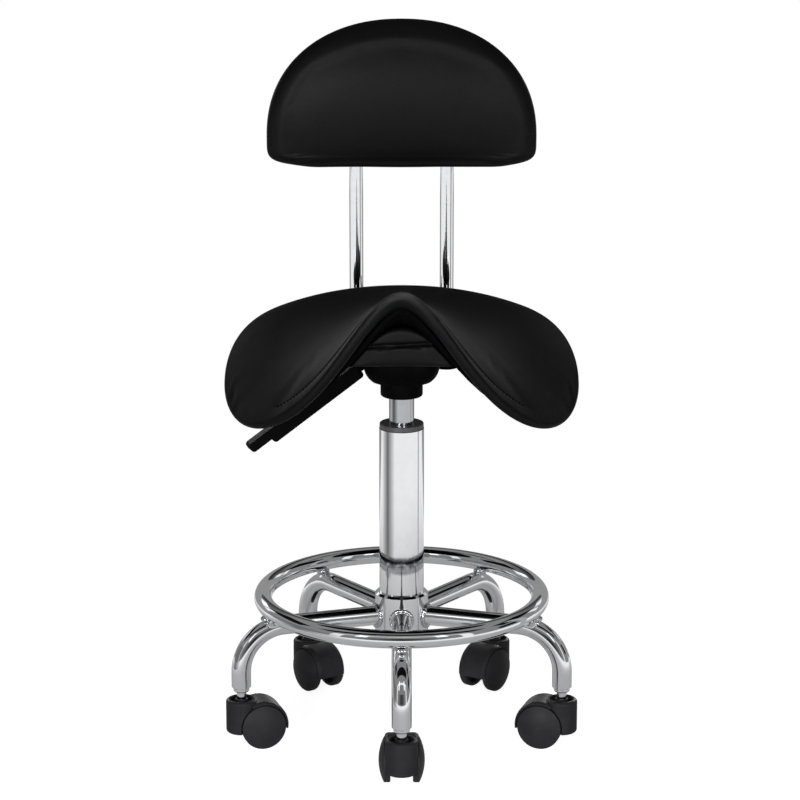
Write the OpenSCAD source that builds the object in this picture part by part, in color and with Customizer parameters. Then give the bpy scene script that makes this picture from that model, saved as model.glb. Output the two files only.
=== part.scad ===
// Dentist stool: saddle seat and half-round backrest on a gas lift, five castors, foot ring.
// Millimetres, +Z up, origin on the floor under the column; the pommel faces -Y.

/* [Base] */
// Radius of the circle of castor stems
leg_circle = 188; // [160:1:240]
// Height of the leg tubes' centre line
leg_height = 137; // [120:1:160]
// Diameter of the leg tube
leg_od = 22; // [18:0.5:28]
// Wall of the leg and ring tubes
tube_wall = 2; // [1:0.1:3]
// Centre-line radius of the bend at each leg's end
leg_bend = 50; // [35:1:60]
// Diameter of the hub sleeve
hub_od = 60; // [56:0.5:72]
// Length of the hub sleeve
hub_length = 54; // [44:1:60]
// Chamfer on the hub sleeve's top edge
hub_chamfer = 2.5; // [0.5:0.1:3]

/* [Foot ring] */
// Centre-line radius of the foot ring
ring_radius = 156; // [135:0.5:180]
// Diameter of the ring tube
ring_od = 20; // [15:0.5:25]
// Air between the ring and the legs' straight runs, filled by the weld
ring_lift = 0; // [0:0.1:3]
// Diameter of the plating drain hole under the ring
drain_d = 5; // [3:0.5:8]

/* [Castors] */
// Diameter of a castor wheel
wheel_d = 50; // [44:1:65]
// Width of one wheel at its middle
wheel_w = 13; // [12:0.5:20]
// Height of the dome on a wheel's outer face
wheel_dome = 6; // [3:0.5:8]
// Width of the web between the two wheels
web_w = 22; // [18:0.5:26]
// Distance from the stem to the axle
trail = 21; // [16:0.5:28]
// Thickness of the hood over the wheels
hood_t = 3; // [2:0.1:5]
// Width of the hood over both wheels
hood_w = 38; // [34:1:54]
// Rounding of the hood's side edges
hood_round = 5; // [3:0.5:6]
// Diameter of the upright boss round the stem
boss_d = 35; // [30:0.5:46]
// Height of the boss's foot above the floor
boss_foot = 17; // [8:0.5:20]
// Depth of the recess round the stem in the boss's top
boss_recess = 4; // [2:0.5:8]
// Diameter of the axle
axle_d = 6; // [4:0.5:10]
// Diameter of the stem in the leg
stem_d = 11; // [8:0.5:12]
// Diameter of the stem's collar under the leg
collar_d = 18; // [14:0.5:20]
// Height of the stem's collar
collar_h = 5.5; // [4.5:0.5:8]
// Length of stem between the boss and the leg
stem_show = 14; // [10:0.5:16]

/* [Gas lift] */
// Diameter of the column tube
column_od = 50; // [46:0.5:56]
// Height of the column tube's top
column_top = 353; // [330:1:380]
// Wall of the column tube
column_wall = 2; // [1.5:0.1:3]
// Thickness of the dark flange on the column
flange_t = 6; // [3:0.5:9]
// Length of the guide sleeve inside the column
guide_length = 98; // [70:1:120]
// Diameter of the pressure tube
tube_od = 28; // [25:0.5:30]
// Wall of the pressure tube
pressure_wall = 2; // [1.5:0.1:3]
// Travel of the lift
stroke = 140; // [80:1:145]
// Diameter of the piston rod
rod_d = 10; // [8:0.5:12]
// Diameter of a bearing ball
ball_d = 5; // [4:0.5:6]
// Diameter of the valve button
button_d = 8; // [6:0.5:10]
// Length of pressure tube that shows at the lowest seat
tube_show = 31; // [20:1:40]

/* [Mechanism] */
// Diameter of the tapered socket
socket_od = 47; // [42:0.5:52]
// Length of the socket that shows under the pan
socket_show = 20; // [16:1:24]
// Width of the pan
pan_w = 84; // [76:1:92]
// Length of the pan
pan_l = 118; // [110:1:122]
// Rounding of the pan's edges
pan_round = 24; // [12:0.5:28]
// Depth of the pan
pan_depth = 48; // [46:1:52]
// Thickness of the pan's sheet
pan_sheet = 2.5; // [2:0.1:3]
// Thickness of the plate that closes the pan
plate_t = 3; // [2:0.1:3]
// Diameter of the plate bolts
bolt_d = 6; // [5:0.5:8]

/* [Lever] */
// Angle of the lever forward of the sideways direction
lever_yaw = 20; // [0:1:30]
// Fall of the lever's outer arm below level
lever_fall = 33; // [26:0.5:35]
// Rise of the lever's inner arm above level
lever_tilt = 12; // [8:0.5:16]
// Height of the lever pin over the top of the lift
lever_rise = 12; // [10:0.5:14]
// Diameter of the lever rod
lever_d = 9; // [7:0.5:10]
// Distance of the lever pin from the column axis
lever_pivot = 30; // [28:0.5:31]
// Length of the lever from pin to tip
lever_reach = 174; // [150:1:185]
// Length of the grip
grip_length = 150; // [100:1:152]
// Height of the grip
grip_h = 17; // [14:0.5:20]
// Thickness of the grip
grip_t = 13; // [12:0.5:16]
// Length of the finger tab at the grip's end
tab_length = 26; // [15:1:40]
// Height of the finger tab
tab_h = 11; // [8:0.5:13]
// Diameter of the lever pin
pin_d = 5; // [4:0.5:6]

/* [Saddle] */
// Half of the saddle's width
seat_half = 194; // [180:1:220]
// Reach of the pommel in front of the column
seat_front = 150; // [135:1:165]
// Reach of the saddle behind the column
seat_rear = 168; // [155:1:178]
// Heights above the mechanism that guide the crest from pommel to rear edge
crest = [81, 31, 40, 21]; // [15:1:100]
// Falls to the sides that guide the wings from pommel to rear edge
fall = [195, 116, 24, 23]; // [10:1:220]
// Thickness of the pad at its edge
pad_edge = 13; // [10:0.5:15]
// Thickness of the pad in the middle
pad_mid = 21; // [16:0.5:21]
// Thickness of the moulded shell
shell_t = 7; // [4:0.5:7]
// Share of the pad's outline that the shell covers
shell_share = 0.88; // [0.82:0.01:0.94]

/* [Backrest] */
// Width of the back pad
back_w = 308; // [260:1:360]
// Height of the back pad
back_h = 172; // [150:1:200]
// Height of the back pad's lower edge above the mechanism
back_rise = 151; // [130:1:170]
// Thickness of the back pad in front of its board
back_t = 44; // [36:1:48]
// Roundness of the back pad's front edge
back_crown = 26; // [18:1:30]
// Fall of the back pad's face to its top and foot
back_bow = 12; // [0:1:15]
// Thickness of the back board
board_t = 9; // [6:0.5:12]
// Distance between the two rods
rod_spacing = 105; // [90:1:130]
// Diameter of the back rods
back_rod_d = 16; // [14:0.5:18]
// Wall of the back rods
back_rod_wall = 1.5; // [1:0.1:2.5]
// Distance of the rods behind the column
rod_y = 199; // [195:1:215]
// Length of the rods below the back pad
rod_below = 230; // [215:1:245]
// Length of the rods inside the back pad
rod_inside = 76; // [68:1:90]
// Diameter of the clamp tubes
clamp_od = 25; // [22:0.5:28]
// Height of the clamp tubes
clamp_h = 88; // [40:1:90]
// Height of the knobs below the clamps' tops
knob_drop = 23; // [16:1:30]
// Diameter of a clamp knob
knob_d = 30; // [24:1:38]

/* [Fits] */
// Radial air of a pressed or welded joint
seat_gap = 0.02; // [0.01:0.01:0.05]
// Radial air of a running joint
run_gap = 0.05; // [0.03:0.01:0.1]
// Air between pieces that pass each other
pass_gap = 0.3; // [0.2:0.05:0.6]

/* [Hidden] */
$fn = 64;
leg_count = 5;
leg_r = leg_od / 2;
leg_bore = leg_r - tube_wall;
hub_r = hub_od / 2;
hub_top = leg_height + hub_length / 2;
hub_foot = hub_top - hub_length;
column_r = column_od / 2;
taper = 0.0125;
column_foot = hub_foot - 6;
column_bore = column_r - column_wall;
ring_height = leg_height + leg_r + ring_od / 2 + ring_lift;
wheel_r = wheel_d / 2;
wheel_gap = 1.2;
wheel_in = web_w / 2 + wheel_gap;
hood_r = wheel_r + wheel_gap + hood_t;
boss_top = wheel_r + hood_r + 1.5;
leg_end = boss_top + stem_show;
axle_half = wheel_in + wheel_w - 6;
socket_l = leg_height - leg_bend - leg_end - 1.3;
tube_r = tube_od / 2;
race_t = 3;
race_r = 17;
race_foot = hub_foot;
ball_circle = 12;
ball_count = 10;
upper_race = race_foot + race_t + ball_d + pass_gap;
shoulder_z = upper_race + race_t;
shoulder_t = 3.5;
shoulder_r = 8;
bump_t = 6.5;
tube_foot = shoulder_z + shoulder_t + bump_t + pass_gap;
guide_rod_t = 18;
piston_z = tube_foot + stroke + guide_rod_t + 10;
piston_t = 12;
socket_foot = column_top + flange_t + tube_show;
cone_z = socket_foot + 10;
tube_top = cone_z + 26;
cone_drop = 0.6;
pan_floor = socket_foot + socket_show;
pan_top = pan_floor + pan_depth;
plate_top = pan_top + plate_t;
bolt_x = 24;
bolt_y = 42;
lever_z = tube_top + lever_rise;
lever_over = lever_z + lever_pivot * tan(lever_tilt);
button_top = lever_over - (lever_d / 2 + button_d / 2 + 0.2) / cos(lever_tilt);
ear_gap = lever_d + 2 * pass_gap;
ear_t = 4;
rod_x = rod_spacing / 2;
back_rod_r = back_rod_d / 2;
board_y = rod_y + back_rod_r + pass_gap;
clamp_top = pan_top + 4;
knob_z = clamp_top - knob_drop;
bracket_z = pan_top - 10;
bracket_t = 5;
screw_r = 4;
back_foot = plate_top + back_rise;
rod_foot = back_foot - rod_below;
rod_length = rod_below + rod_inside;
holder_z = back_foot + 26;
holder_h = 40;
holder_t = 2.5;
back_screw_r = 2;
pad_clear = 0.5;
shell_rings = [for (q = [0.13, 0.28, 0.45, 0.63, 0.8, 0.91, 1]) q * shell_share];
saddle_steps = 72;
back_steps = 72;
back_middle = back_foot + back_h * 0.22;

// Every sub-part by name

// Cubic curve through four guiding values
function bezier(b, s) =
    pow(1 - s, 3) * b[0] + 3 * pow(1 - s, 2) * s * b[1] + 3 * (1 - s) * s * s * b[2] + pow(s, 3) * b[3];

// Share of the way from pommel to rear edge
function along(y) = (y + seat_front) / (seat_front + seat_rear);

// How far the arch has fallen at x, as a share of the whole fall
function arch(x, s) =
    let (w = 114 + 250 * s, edge = seat_half - (seat_half - 150) * pow(1 - s, 3))
    x * x / (x * x + w * w) * (1 + w * w / (edge * edge));

// Height of the saddle's top surface
function saddle(x, y) = let (s = along(y)) plate_top + bezier(crest, s) - bezier(fall, s) * arch(x, s);

// Unit normal of the saddle's top surface
function saddle_normal(x, y) =
    let (n = [saddle(x - 0.5, y) - saddle(x + 0.5, y), saddle(x, y - 0.5) - saddle(x, y + 0.5), 1])
    n / norm(n);

// Point of the saddle's plan outline at an angle
function saddle_edge(a) =
    let (c = cos(a), q = sin(a), b = q < 0 ? seat_front : seat_rear, e = 2 / 2.08)
    [seat_half * sign(c) * pow(abs(c), e), b * sign(q) * pow(abs(q), e)];

// Point under the saddle, at a depth along the normal
function under_saddle(x, y, depth) = [x, y, saddle(x, y)] - depth * saddle_normal(x, y);

// Point under the saddle, at a share of the way from the middle to the outline
function saddle_point(a, share, depth) = let (p = share * saddle_edge(a)) under_saddle(p[0], p[1], depth);

// Depth of the pad's underside at a share of the outline
function pad_depth(share) = pad_edge + (pad_mid - pad_edge) * (1 - pow(share, 4));

// Closed skin over a row of rings of points, with a point at each end; turned picks the other diagonals
module skin(rings, first, last, turned = false) {
    m = len(rings[0]);
    n = len(rings);
    points = concat([for (ring = rings) each ring], [first, last]);
    sides = [for (i = [0:n - 2]) for (j = [0:m - 1])
        let (a = i * m + j, b = a + m, d = i * m + (j + 1) % m, c = d + m)
        each turned ? [[a, b, d], [d, b, c]] : [[a, b, c], [a, c, d]]];
    near = [for (j = [0:m - 1]) [n * m, j, (j + 1) % m]];
    far = [for (j = [0:m - 1]) [n * m + 1, (n - 1) * m + (j + 1) % m, (n - 1) * m + j]];
    polyhedron(points, concat(sides, near, far));
}

// Slab that follows the saddle through a profile of outline shares and depths
module saddle_slab(profile, turned) {
    rings = [for (q = profile)
        [for (j = [0:saddle_steps - 1]) saddle_point(-360 * j / saddle_steps, q[0], q[1])]];
    last = len(profile) - 1;
    skin(rings, saddle_point(90, 0, profile[0][1]), saddle_point(90, 0, profile[last][1]), turned);
}

// Rectangle with rounded corners, centred
module rounded_rect(w, h, r) {
    square([w - 2 * r, h], center = true);
    square([w, h - 2 * r], center = true);
    for (x = [-1, 1], y = [-1, 1])
        translate([x * (w / 2 - r), y * (h / 2 - r)]) circle(r);
}

// Half section of a disc with rounded rims, standing on the first axis
module disc_section(r, h, e) {
    square([r - e, h]);
    translate([0, e]) square([r, h - 2 * e]);
    for (y = [e, h - e])
        translate([r - e, y]) circle(e);
}

// Disc about Z with rounded rims, standing on z = 0
module rounded_disc(r, h, e) {
    rotate_extrude() disc_section(r, h, e);
}

// Tube about Z
module tube(outer, inner, h) {
    difference() {
        cylinder(r = outer, h = h);
        translate([0, 0, -1]) cylinder(r = inner, h = h + 2);
    }
}

// Turns a leg's own frame to its place
module at_leg(i) {
    rotate([0, 0, -90 + 360 / leg_count * (i - 1)]) children();
}

// Moves to a castor's stem; +X points back to the column
module at_castor(i) {
    at_leg(i) translate([leg_circle, 0, 0]) rotate([0, 0, 180]) children();
}

// Solid run of a leg: straight, bend and drop
module leg_run(r, start, drop) {
    translate([start, 0, leg_height]) rotate([0, 90, 0]) cylinder(r = r, h = leg_circle - leg_bend - start);
    translate([leg_circle - leg_bend, 0, leg_height - leg_bend]) rotate([90, 0, 0])
        rotate_extrude(angle = 90) translate([leg_bend, 0]) circle(r);
    translate([leg_circle, 0, drop]) cylinder(r = r, h = leg_height - leg_bend - drop);
}

module leg(i) {
    color("silver") at_leg(i) difference() {
        leg_run(leg_r, hub_r - 5, leg_end);
        leg_run(leg_bore, hub_r - 6, leg_end - 1);
        cylinder(r = hub_r + seat_gap, h = 2 * leg_height);
    }
}

module hub_sleeve() {
    color("silver") difference() {
        union() {
            translate([0, 0, hub_foot]) cylinder(r = hub_r, h = hub_length - hub_chamfer);
            translate([0, 0, hub_top - hub_chamfer])
                cylinder(r1 = hub_r, r2 = hub_r - hub_chamfer, h = hub_chamfer);
        }
        translate([0, 0, hub_foot])
            cylinder(r1 = column_r - taper * hub_length + seat_gap, r2 = column_r + seat_gap, h = hub_length);
    }
}

module ring_solid(r) {
    translate([0, 0, ring_height]) rotate_extrude() translate([ring_radius, 0]) circle(r);
}

module foot_ring() {
    color("silver") difference() {
        ring_solid(ring_od / 2);
        ring_solid(ring_od / 2 - tube_wall);
        translate([0, ring_radius, ring_height - ring_od]) cylinder(d = drain_d, h = ring_od);
    }
}

module base_welds() {
    bead = 2.6;
    color("gainsboro") for (i = [1:leg_count]) at_leg(i) {
        difference() {
            translate([hub_r, 0, leg_height]) rotate([0, 90, 0])
                rotate_extrude() translate([leg_r + 0.8, 0]) circle(bead);
            cylinder(r = hub_r + seat_gap, h = 2 * leg_height);
            translate([hub_r - 10, 0, leg_height]) rotate([0, 90, 0]) cylinder(r = leg_r + seat_gap, h = 20);
        }
        difference() {
            translate([ring_radius, 0, leg_height]) cylinder(r = 5.5, h = ring_height - leg_height - 2);
            leg_run(leg_r + seat_gap, hub_r, leg_end);
            ring_solid(ring_od / 2 + seat_gap);
        }
    }
}

module stem_sockets() {
    color("dimgray") for (i = [1:leg_count]) at_castor(i)
        translate([0, 0, leg_end]) tube(leg_bore - seat_gap, stem_d / 2, socket_l);
}

module castor_stems() {
    pin_r = stem_d / 2 - 0.5;
    pin_foot = wheel_r + axle_d / 2 + 2;
    neck_foot = boss_top + pass_gap;
    color("silver") for (i = [1:leg_count]) at_castor(i) {
        translate([0, 0, leg_end - 0.5]) cylinder(r = stem_d / 2 - seat_gap, h = socket_l - 2);
        translate([0, 0, leg_end - collar_h]) rounded_disc(collar_d / 2, collar_h - seat_gap, 2);
        translate([0, 0, neck_foot]) cylinder(d = stem_d, h = leg_end - 2 - neck_foot);
        translate([0, 0, pin_foot]) cylinder(r = pin_r, h = leg_end - 2 - pin_foot);
    }
}

// Wedge of the hood that stays, from behind the axle to over the boss
module hood_wedge() {
    translate([trail, 0, wheel_r]) rotate([90, 0, 0]) linear_extrude(height = 2 * hood_w, center = true)
        polygon(concat([[0, 0]], [for (a = [-8:21:118]) 70 * [cos(a), sin(a)]]));
}

module on_axle(y) {
    translate([trail, y, wheel_r]) rotate([-90, 0, 0]) children();
}

module castor_body(i) {
    color("#2b2b2d") at_castor(i) difference() {
        union() {
            difference() {
                union() {
                    intersection() {
                        on_axle(-hood_w / 2) rounded_disc(hood_r, hood_w, hood_round);
                        hood_wedge();
                    }
                    translate([0, 0, boss_foot]) rounded_disc(boss_d / 2, boss_top - boss_foot, 3.5);
                }
                for (y = [web_w / 2, -web_w / 2 - 40])
                    on_axle(y) cylinder(r = wheel_r + wheel_gap, h = 40);
            }
            on_axle(-web_w / 2) cylinder(r = axle_d / 2 + 6, h = web_w);
        }
        on_axle(-hood_w) cylinder(r = axle_d / 2 + seat_gap, h = 2 * hood_w);
        translate([0, 0, wheel_r + axle_d / 2 + 1]) cylinder(r = stem_d / 2 - 0.5 + run_gap, h = 60);
        translate([0, 0, boss_top - boss_recess]) tube(boss_d / 2 - 4, stem_d / 2 + 1.5, 2 * boss_recess);
    }
}

module castor_axle(i) {
    color("silver") at_castor(i) on_axle(-axle_half) cylinder(d = axle_d, h = 2 * axle_half);
}

// Wheel with its inner face on z = 0 and a domed outer face
module wheel_solid() {
    dome = (wheel_r * wheel_r + wheel_dome * wheel_dome) / (2 * wheel_dome);
    difference() {
        rotate_extrude() intersection() {
            disc_section(wheel_r, wheel_w, 2);
            translate([0, wheel_w - dome]) circle(dome, $fn = 360);
        }
        translate([0, 0, -1]) cylinder(r = axle_d / 2 + run_gap, h = axle_half - wheel_in + 1.6);
        translate([0, 0, -1]) tube(wheel_r - 4, axle_d / 2 + 4, wheel_w - wheel_dome);
    }
}

module wheel_left(i) {
    color("#303032") at_castor(i) on_axle(wheel_in) wheel_solid();
}

module wheel_right(i) {
    color("#303032") at_castor(i) on_axle(-wheel_in) mirror([0, 0, 1]) wheel_solid();
}

module column_tube() {
    plate = hub_foot - column_foot;
    cone = hub_top - column_foot;
    color("silver") difference() {
        union() {
            translate([0, 0, column_foot]) cylinder(r1 = column_r - taper * cone, r2 = column_r, h = cone);
            translate([0, 0, hub_top]) cylinder(r = column_r, h = column_top - hub_top);
        }
        translate([0, 0, column_foot + plate]) cylinder(r = column_bore, h = column_top);
        translate([0, 0, column_foot - 1]) cylinder(r = rod_d / 2 + 1, h = plate + 2);
    }
}

module guide_sleeve() {
    color("#3a3a3c") difference() {
        union() {
            translate([0, 0, column_top - guide_length])
                cylinder(r = column_bore - seat_gap, h = guide_length + 1);
            translate([0, 0, column_top]) rounded_disc(column_r - 0.4, flange_t, 1);
        }
        translate([0, 0, column_top - guide_length - 1])
            cylinder(r = tube_r + run_gap, h = guide_length + flange_t + 2);
    }
}

module bearing_race_lower() {
    color("silver") translate([0, 0, race_foot]) tube(race_r, rod_d / 2 + 1, race_t);
}

module bearing_balls() {
    color("silver") for (k = [0:ball_count - 1]) rotate([0, 0, 360 / ball_count * k])
        translate([ball_circle, 0, race_foot + race_t + ball_d / 2]) sphere(d = ball_d);
}

module bearing_race_upper() {
    color("silver") translate([0, 0, upper_race]) tube(race_r, rod_d / 2 + seat_gap, race_t);
}

module piston_rod() {
    foot = column_foot - 6;
    color("lightgray") difference() {
        union() {
            translate([0, 0, foot]) cylinder(d = rod_d, h = piston_z - foot + 1);
            translate([0, 0, shoulder_z]) cylinder(r = shoulder_r, h = shoulder_t);
            translate([0, 0, piston_z]) cylinder(r = tube_r - pressure_wall - run_gap, h = piston_t);
        }
        translate([0, 0, column_foot - pass_gap - 1.5]) tube(rod_d, rod_d / 2 - 1, 1.5);
    }
}

module bump_stop() {
    color("#222222") translate([0, 0, shoulder_z + shoulder_t])
        tube(tube_r - pressure_wall, rod_d / 2 + seat_gap, bump_t);
}

module retaining_clip() {
    color("silver") translate([0, 0, column_foot - pass_gap - 1.4]) difference() {
        tube(rod_d / 2 + 4, rod_d / 2 - 1 + seat_gap, 1.3);
        translate([0, -2, -1]) cube([rod_d, 4, 4]);
    }
}

module pressure_tube() {
    bore_top = cone_z + 6;
    color("#c8c8ca") difference() {
        union() {
            translate([0, 0, tube_foot]) cylinder(r = tube_r, h = cone_z - tube_foot);
            translate([0, 0, cone_z]) cylinder(r1 = tube_r, r2 = tube_r - cone_drop, h = tube_top - cone_z);
        }
        translate([0, 0, tube_foot - 1]) cylinder(r = tube_r - pressure_wall, h = bore_top - tube_foot + 1);
        translate([0, 0, tube_top - 16]) cylinder(d = button_d + 2 * run_gap, h = 20);
    }
}

module rod_guide() {
    color("#4a4a4c") translate([0, 0, tube_foot])
        tube(tube_r - pressure_wall - seat_gap, rod_d / 2 + run_gap, guide_rod_t);
}

module valve_button() {
    foot = tube_top - 10;
    color("#8c2f2a") {
        translate([0, 0, foot]) cylinder(d = button_d, h = button_top - foot);
        translate([0, 0, button_top]) sphere(d = button_d);
    }
}

module taper_socket() {
    color("#1d1d1f") difference() {
        translate([0, 0, socket_foot]) rounded_disc(socket_od / 2, tube_top - socket_foot, 2.5);
        translate([0, 0, socket_foot - 1]) cylinder(r = tube_r + seat_gap, h = cone_z - socket_foot + 1);
        translate([0, 0, cone_z])
            cylinder(r1 = tube_r + seat_gap, r2 = tube_r - cone_drop + seat_gap, h = tube_top - cone_z);
    }
}

// Pan-shaped solid: round floor edges and corners, open to the given height
module pan_solid(inset, top) {
    r = pan_round - inset;
    x = pan_w / 2 - pan_round;
    y = pan_l / 2 - pan_round;
    hull() for (sx = [-1, 1], sy = [-1, 1]) translate([sx * x, sy * y, pan_floor + pan_round]) {
        sphere(r = r, $fn = 40);
        cylinder(r = r, h = top - pan_floor - pan_round, $fn = 40);
    }
}

// Lever frame: +X runs out along the lever's plan direction
module lever_frame() {
    rotate([0, 0, 180 + lever_yaw]) children();
}

// Lever line frame: +X runs down the rod from the pin
module lever_line() {
    lever_frame() translate([lever_pivot, 0, lever_z]) rotate([0, lever_fall, 0]) children();
}

module lift_pan() {
    color("#1d1d1f") difference() {
        pan_solid(0, pan_top);
        pan_solid(pan_sheet, pan_top + 5);
        translate([0, 0, pan_floor - 10]) cylinder(r = socket_od / 2 + seat_gap, h = 40);
        lever_line() translate([0, -lever_d / 2 - 1.5, -lever_d]) cube([60, lever_d + 3, 2 * lever_d + 1]);
        for (x = [-1, 1], y = [-1, 1])
            translate([x * bolt_x, y * bolt_y, pan_floor - 10]) cylinder(d = bolt_d + 8, h = 30);
    }
}

module lift_plate() {
    ear_r = pin_d / 2 + 4.5;
    color("#1d1d1f") {
        difference() {
            translate([0, 0, pan_top]) linear_extrude(height = plate_t) rounded_rect(pan_w, pan_l, pan_round);
            for (x = [-1, 1], y = [-1, 1])
                translate([x * bolt_x, y * bolt_y, pan_top - 1])
                    cylinder(r = bolt_d / 2 + seat_gap, h = plate_t + 2);
        }
        lever_frame() for (y = [-ear_gap / 2 - ear_t, ear_gap / 2])
            translate([lever_pivot, y, lever_z]) difference() {
                union() {
                    rotate([-90, 0, 0]) cylinder(r = ear_r, h = ear_t);
                    translate([-ear_r, 0, 0]) cube([ear_r + 4, ear_t, pan_top - lever_z]);
                }
                translate([0, -1, 0]) rotate([-90, 0, 0]) cylinder(r = pin_d / 2 + seat_gap, h = ear_t + 2);
            }
    }
}

module plate_bolts() {
    head = 0.7 * bolt_d;
    color("#3c3c3e") for (x = [-1, 1], y = [-1, 1]) translate([x * bolt_x, y * bolt_y, pan_top]) {
        translate([0, 0, -head]) cylinder(d = 1.9 * bolt_d, h = head - seat_gap, $fn = 6);
        translate([0, 0, -1]) cylinder(d = bolt_d, h = plate_t + 5);
    }
}

module lever_pin() {
    color("silver") lever_frame() translate([lever_pivot, -ear_gap / 2 - ear_t, lever_z])
        rotate([-90, 0, 0]) cylinder(d = pin_d, h = ear_gap + 2 * ear_t);
}

module lever_rod() {
    inner = (lever_pivot + 5) / cos(lever_tilt);
    color("#4d4d50") difference() {
        union() {
            lever_line() rotate([0, 90, 0]) cylinder(d = lever_d, h = lever_reach - grip_length + 40);
            lever_frame() translate([lever_pivot, 0, lever_z]) {
                rotate([0, lever_tilt - 90, 0]) cylinder(d = lever_d, h = inner);
                translate([0, -lever_d / 2, 0]) rotate([-90, 0, 0]) cylinder(d = pin_d + 7, h = lever_d);
            }
        }
        lever_line() translate([0, -lever_d, 0]) rotate([-90, 0, 0])
            cylinder(r = pin_d / 2 + run_gap, h = 2 * lever_d);
    }
}

module lever_grip() {
    body = grip_length - tab_length;
    color("#232325") lever_line() translate([lever_reach - grip_length, 0, 0]) difference() {
        rotate([90, 0, 0]) linear_extrude(height = grip_t, center = true) {
            translate([body / 2, 0]) rounded_rect(body, grip_h, 4);
            translate([grip_length - tab_length / 2 - 6, grip_h / 2 - tab_h / 2])
                rounded_rect(tab_length + 12, tab_h, 4);
        }
        translate([-1, 0, 0]) rotate([0, 90, 0]) cylinder(r = lever_d / 2 + seat_gap, h = 41.5);
    }
}

// Point of the mounting block's crown: under the shell, inside the plate and drawn in at the corners
function block_point(u, v) =
    let (x = u * (pan_w / 2 + 5) * sqrt(1 - 0.4 * v * v), y = v * (pan_l / 2 - 3) * sqrt(1 - 0.4 * u * u))
    under_saddle(x, y, pad_mid + shell_t + 3 * pad_clear);

module mount_block() {
    n = 16;
    crown = [for (i = [0:n]) for (j = [0:n]) block_point(2 * i / n - 1, 2 * j / n - 1)];
    base = [for (p = crown) [p[0], p[1], plate_top]];
    m = (n + 1) * (n + 1);
    quads = [for (i = [0:n - 1]) for (j = [0:n - 1])
        let (k = i * (n + 1) + j)
        [k, k + 1, k + n + 2, k + n + 1]];
    lid = [for (q = quads) each [[q[0], q[1], q[2]], [q[0], q[2], q[3]]]];
    floor_faces = [for (f = lid) [f[2] + m, f[1] + m, f[0] + m]];
    rim = concat([for (j = [0:n - 1]) j], [for (i = [0:n - 1]) i * (n + 1) + n],
        [for (j = [0:n - 1]) m - 1 - j], [for (i = [0:n - 1]) (n - i) * (n + 1)]);
    walls = [for (k = [0:len(rim) - 1])
        let (a = rim[k], b = rim[(k + 1) % len(rim)])
        each [[b, a, a + m], [b, a + m, b + m]]];
    color("#2a2a2c") difference() {
        polyhedron(concat(crown, base), concat(lid, floor_faces, walls));
        for (x = [-1, 1], y = [-1, 1])
            translate([x * bolt_x, y * bolt_y, plate_top - 1]) cylinder(r = bolt_d / 2 + seat_gap, h = 6.2);
    }
}

module seat_shell() {
    last = len(shell_rings) - 1;
    top = [for (q = shell_rings) [q, pad_depth(q) + pad_clear]];
    under = [for (k = [last:-1:0]) [top[k][0], top[k][1] + shell_t * (k == last ? 0.6 : 1)]];
    color("#1f1f21") saddle_slab(concat(top, under), false);
}

module seat_pad() {
    r = pad_edge / 2;
    inset = r / seat_half;
    last = len(shell_rings) - 1;
    top = [for (q = [0.2, 0.4, 0.58, 0.74, 0.87]) [q, 0]];
    rim = [for (a = [0:30:180]) [1 - inset * (1 - sin(a)), r - r * cos(a)]];
    under = [for (k = [last:-1:0]) [shell_rings[k], pad_depth(shell_rings[k])]];
    color("#18181a") saddle_slab(concat(top, rim, under), true);
}

module at_rods() {
    for (x = [-1, 1]) translate([x * rod_x, rod_y, 0]) children();
}

module back_bracket() {
    arm_w = 44;
    color("#1d1d1f") difference() {
        union() {
            translate([-arm_w / 2, pan_l / 2 + seat_gap, bracket_z])
                cube([arm_w, rod_y - pan_l / 2, bracket_t]);
            translate([-rod_x, rod_y - 12, bracket_z]) cube([2 * rod_x, 20, bracket_t]);
            at_rods() translate([0, 0, clamp_top - clamp_h]) cylinder(d = clamp_od, h = clamp_h);
        }
        at_rods() translate([0, 0, clamp_top - clamp_h - 1])
            cylinder(r = back_rod_r + run_gap, h = clamp_h + 2);
        at_rods() translate([0, 0, knob_z]) rotate([-90, 0, 0])
            cylinder(r = screw_r + run_gap, h = clamp_od);
    }
}

module clamp_knob(x) {
    grip_y = clamp_od / 2 + 4;
    color("#232325") translate([x * rod_x, rod_y, knob_z]) rotate([-90, 0, 0]) {
        translate([0, 0, back_rod_r + pass_gap]) cylinder(r = screw_r, h = grip_y - back_rod_r + 4);
        difference() {
            translate([0, 0, grip_y]) rounded_disc(knob_d / 2, 15, 2.5);
            for (a = [0:60:300]) rotate([0, 0, a])
                translate([knob_d / 2 + 4, 0, grip_y - 1]) cylinder(r = 6.5, h = 20);
        }
    }
}

module back_rods() {
    color("silver") at_rods() translate([0, 0, rod_foot])
        tube(back_rod_r, back_rod_r - back_rod_wall, rod_length);
}

module rod_caps() {
    color("#232325") at_rods() {
        translate([0, 0, rod_foot - 3]) rounded_disc(back_rod_r, 3, 1);
        translate([0, 0, rod_foot - 1]) cylinder(r = back_rod_r - back_rod_wall - seat_gap, h = 13);
    }
}

// Section of a rod holder: a strap round the rod with two flanges on the board
module holder_section() {
    flange = 10;
    reach = back_rod_r + seat_gap;
    seat = board_y - rod_y;
    difference() {
        union() {
            circle(reach + holder_t);
            translate([-reach - holder_t, 0]) square([2 * (reach + holder_t), seat]);
        }
        circle(reach);
        translate([-reach, 0]) square([2 * reach, 40]);
    }
    for (x = [-reach - holder_t / 2 - flange, reach + holder_t / 2])
        translate([x, seat - holder_t]) square([flange, holder_t]);
}

// Places each screw on the holders' flanges, +Z into the board
module at_screws() {
    for (x = [-1, 1], z = [0.25, 0.75])
        at_rods() translate([x * (back_rod_r + holder_t + 5), board_y - rod_y, holder_z + z * holder_h])
            rotate([-90, 0, 0]) children();
}

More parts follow.
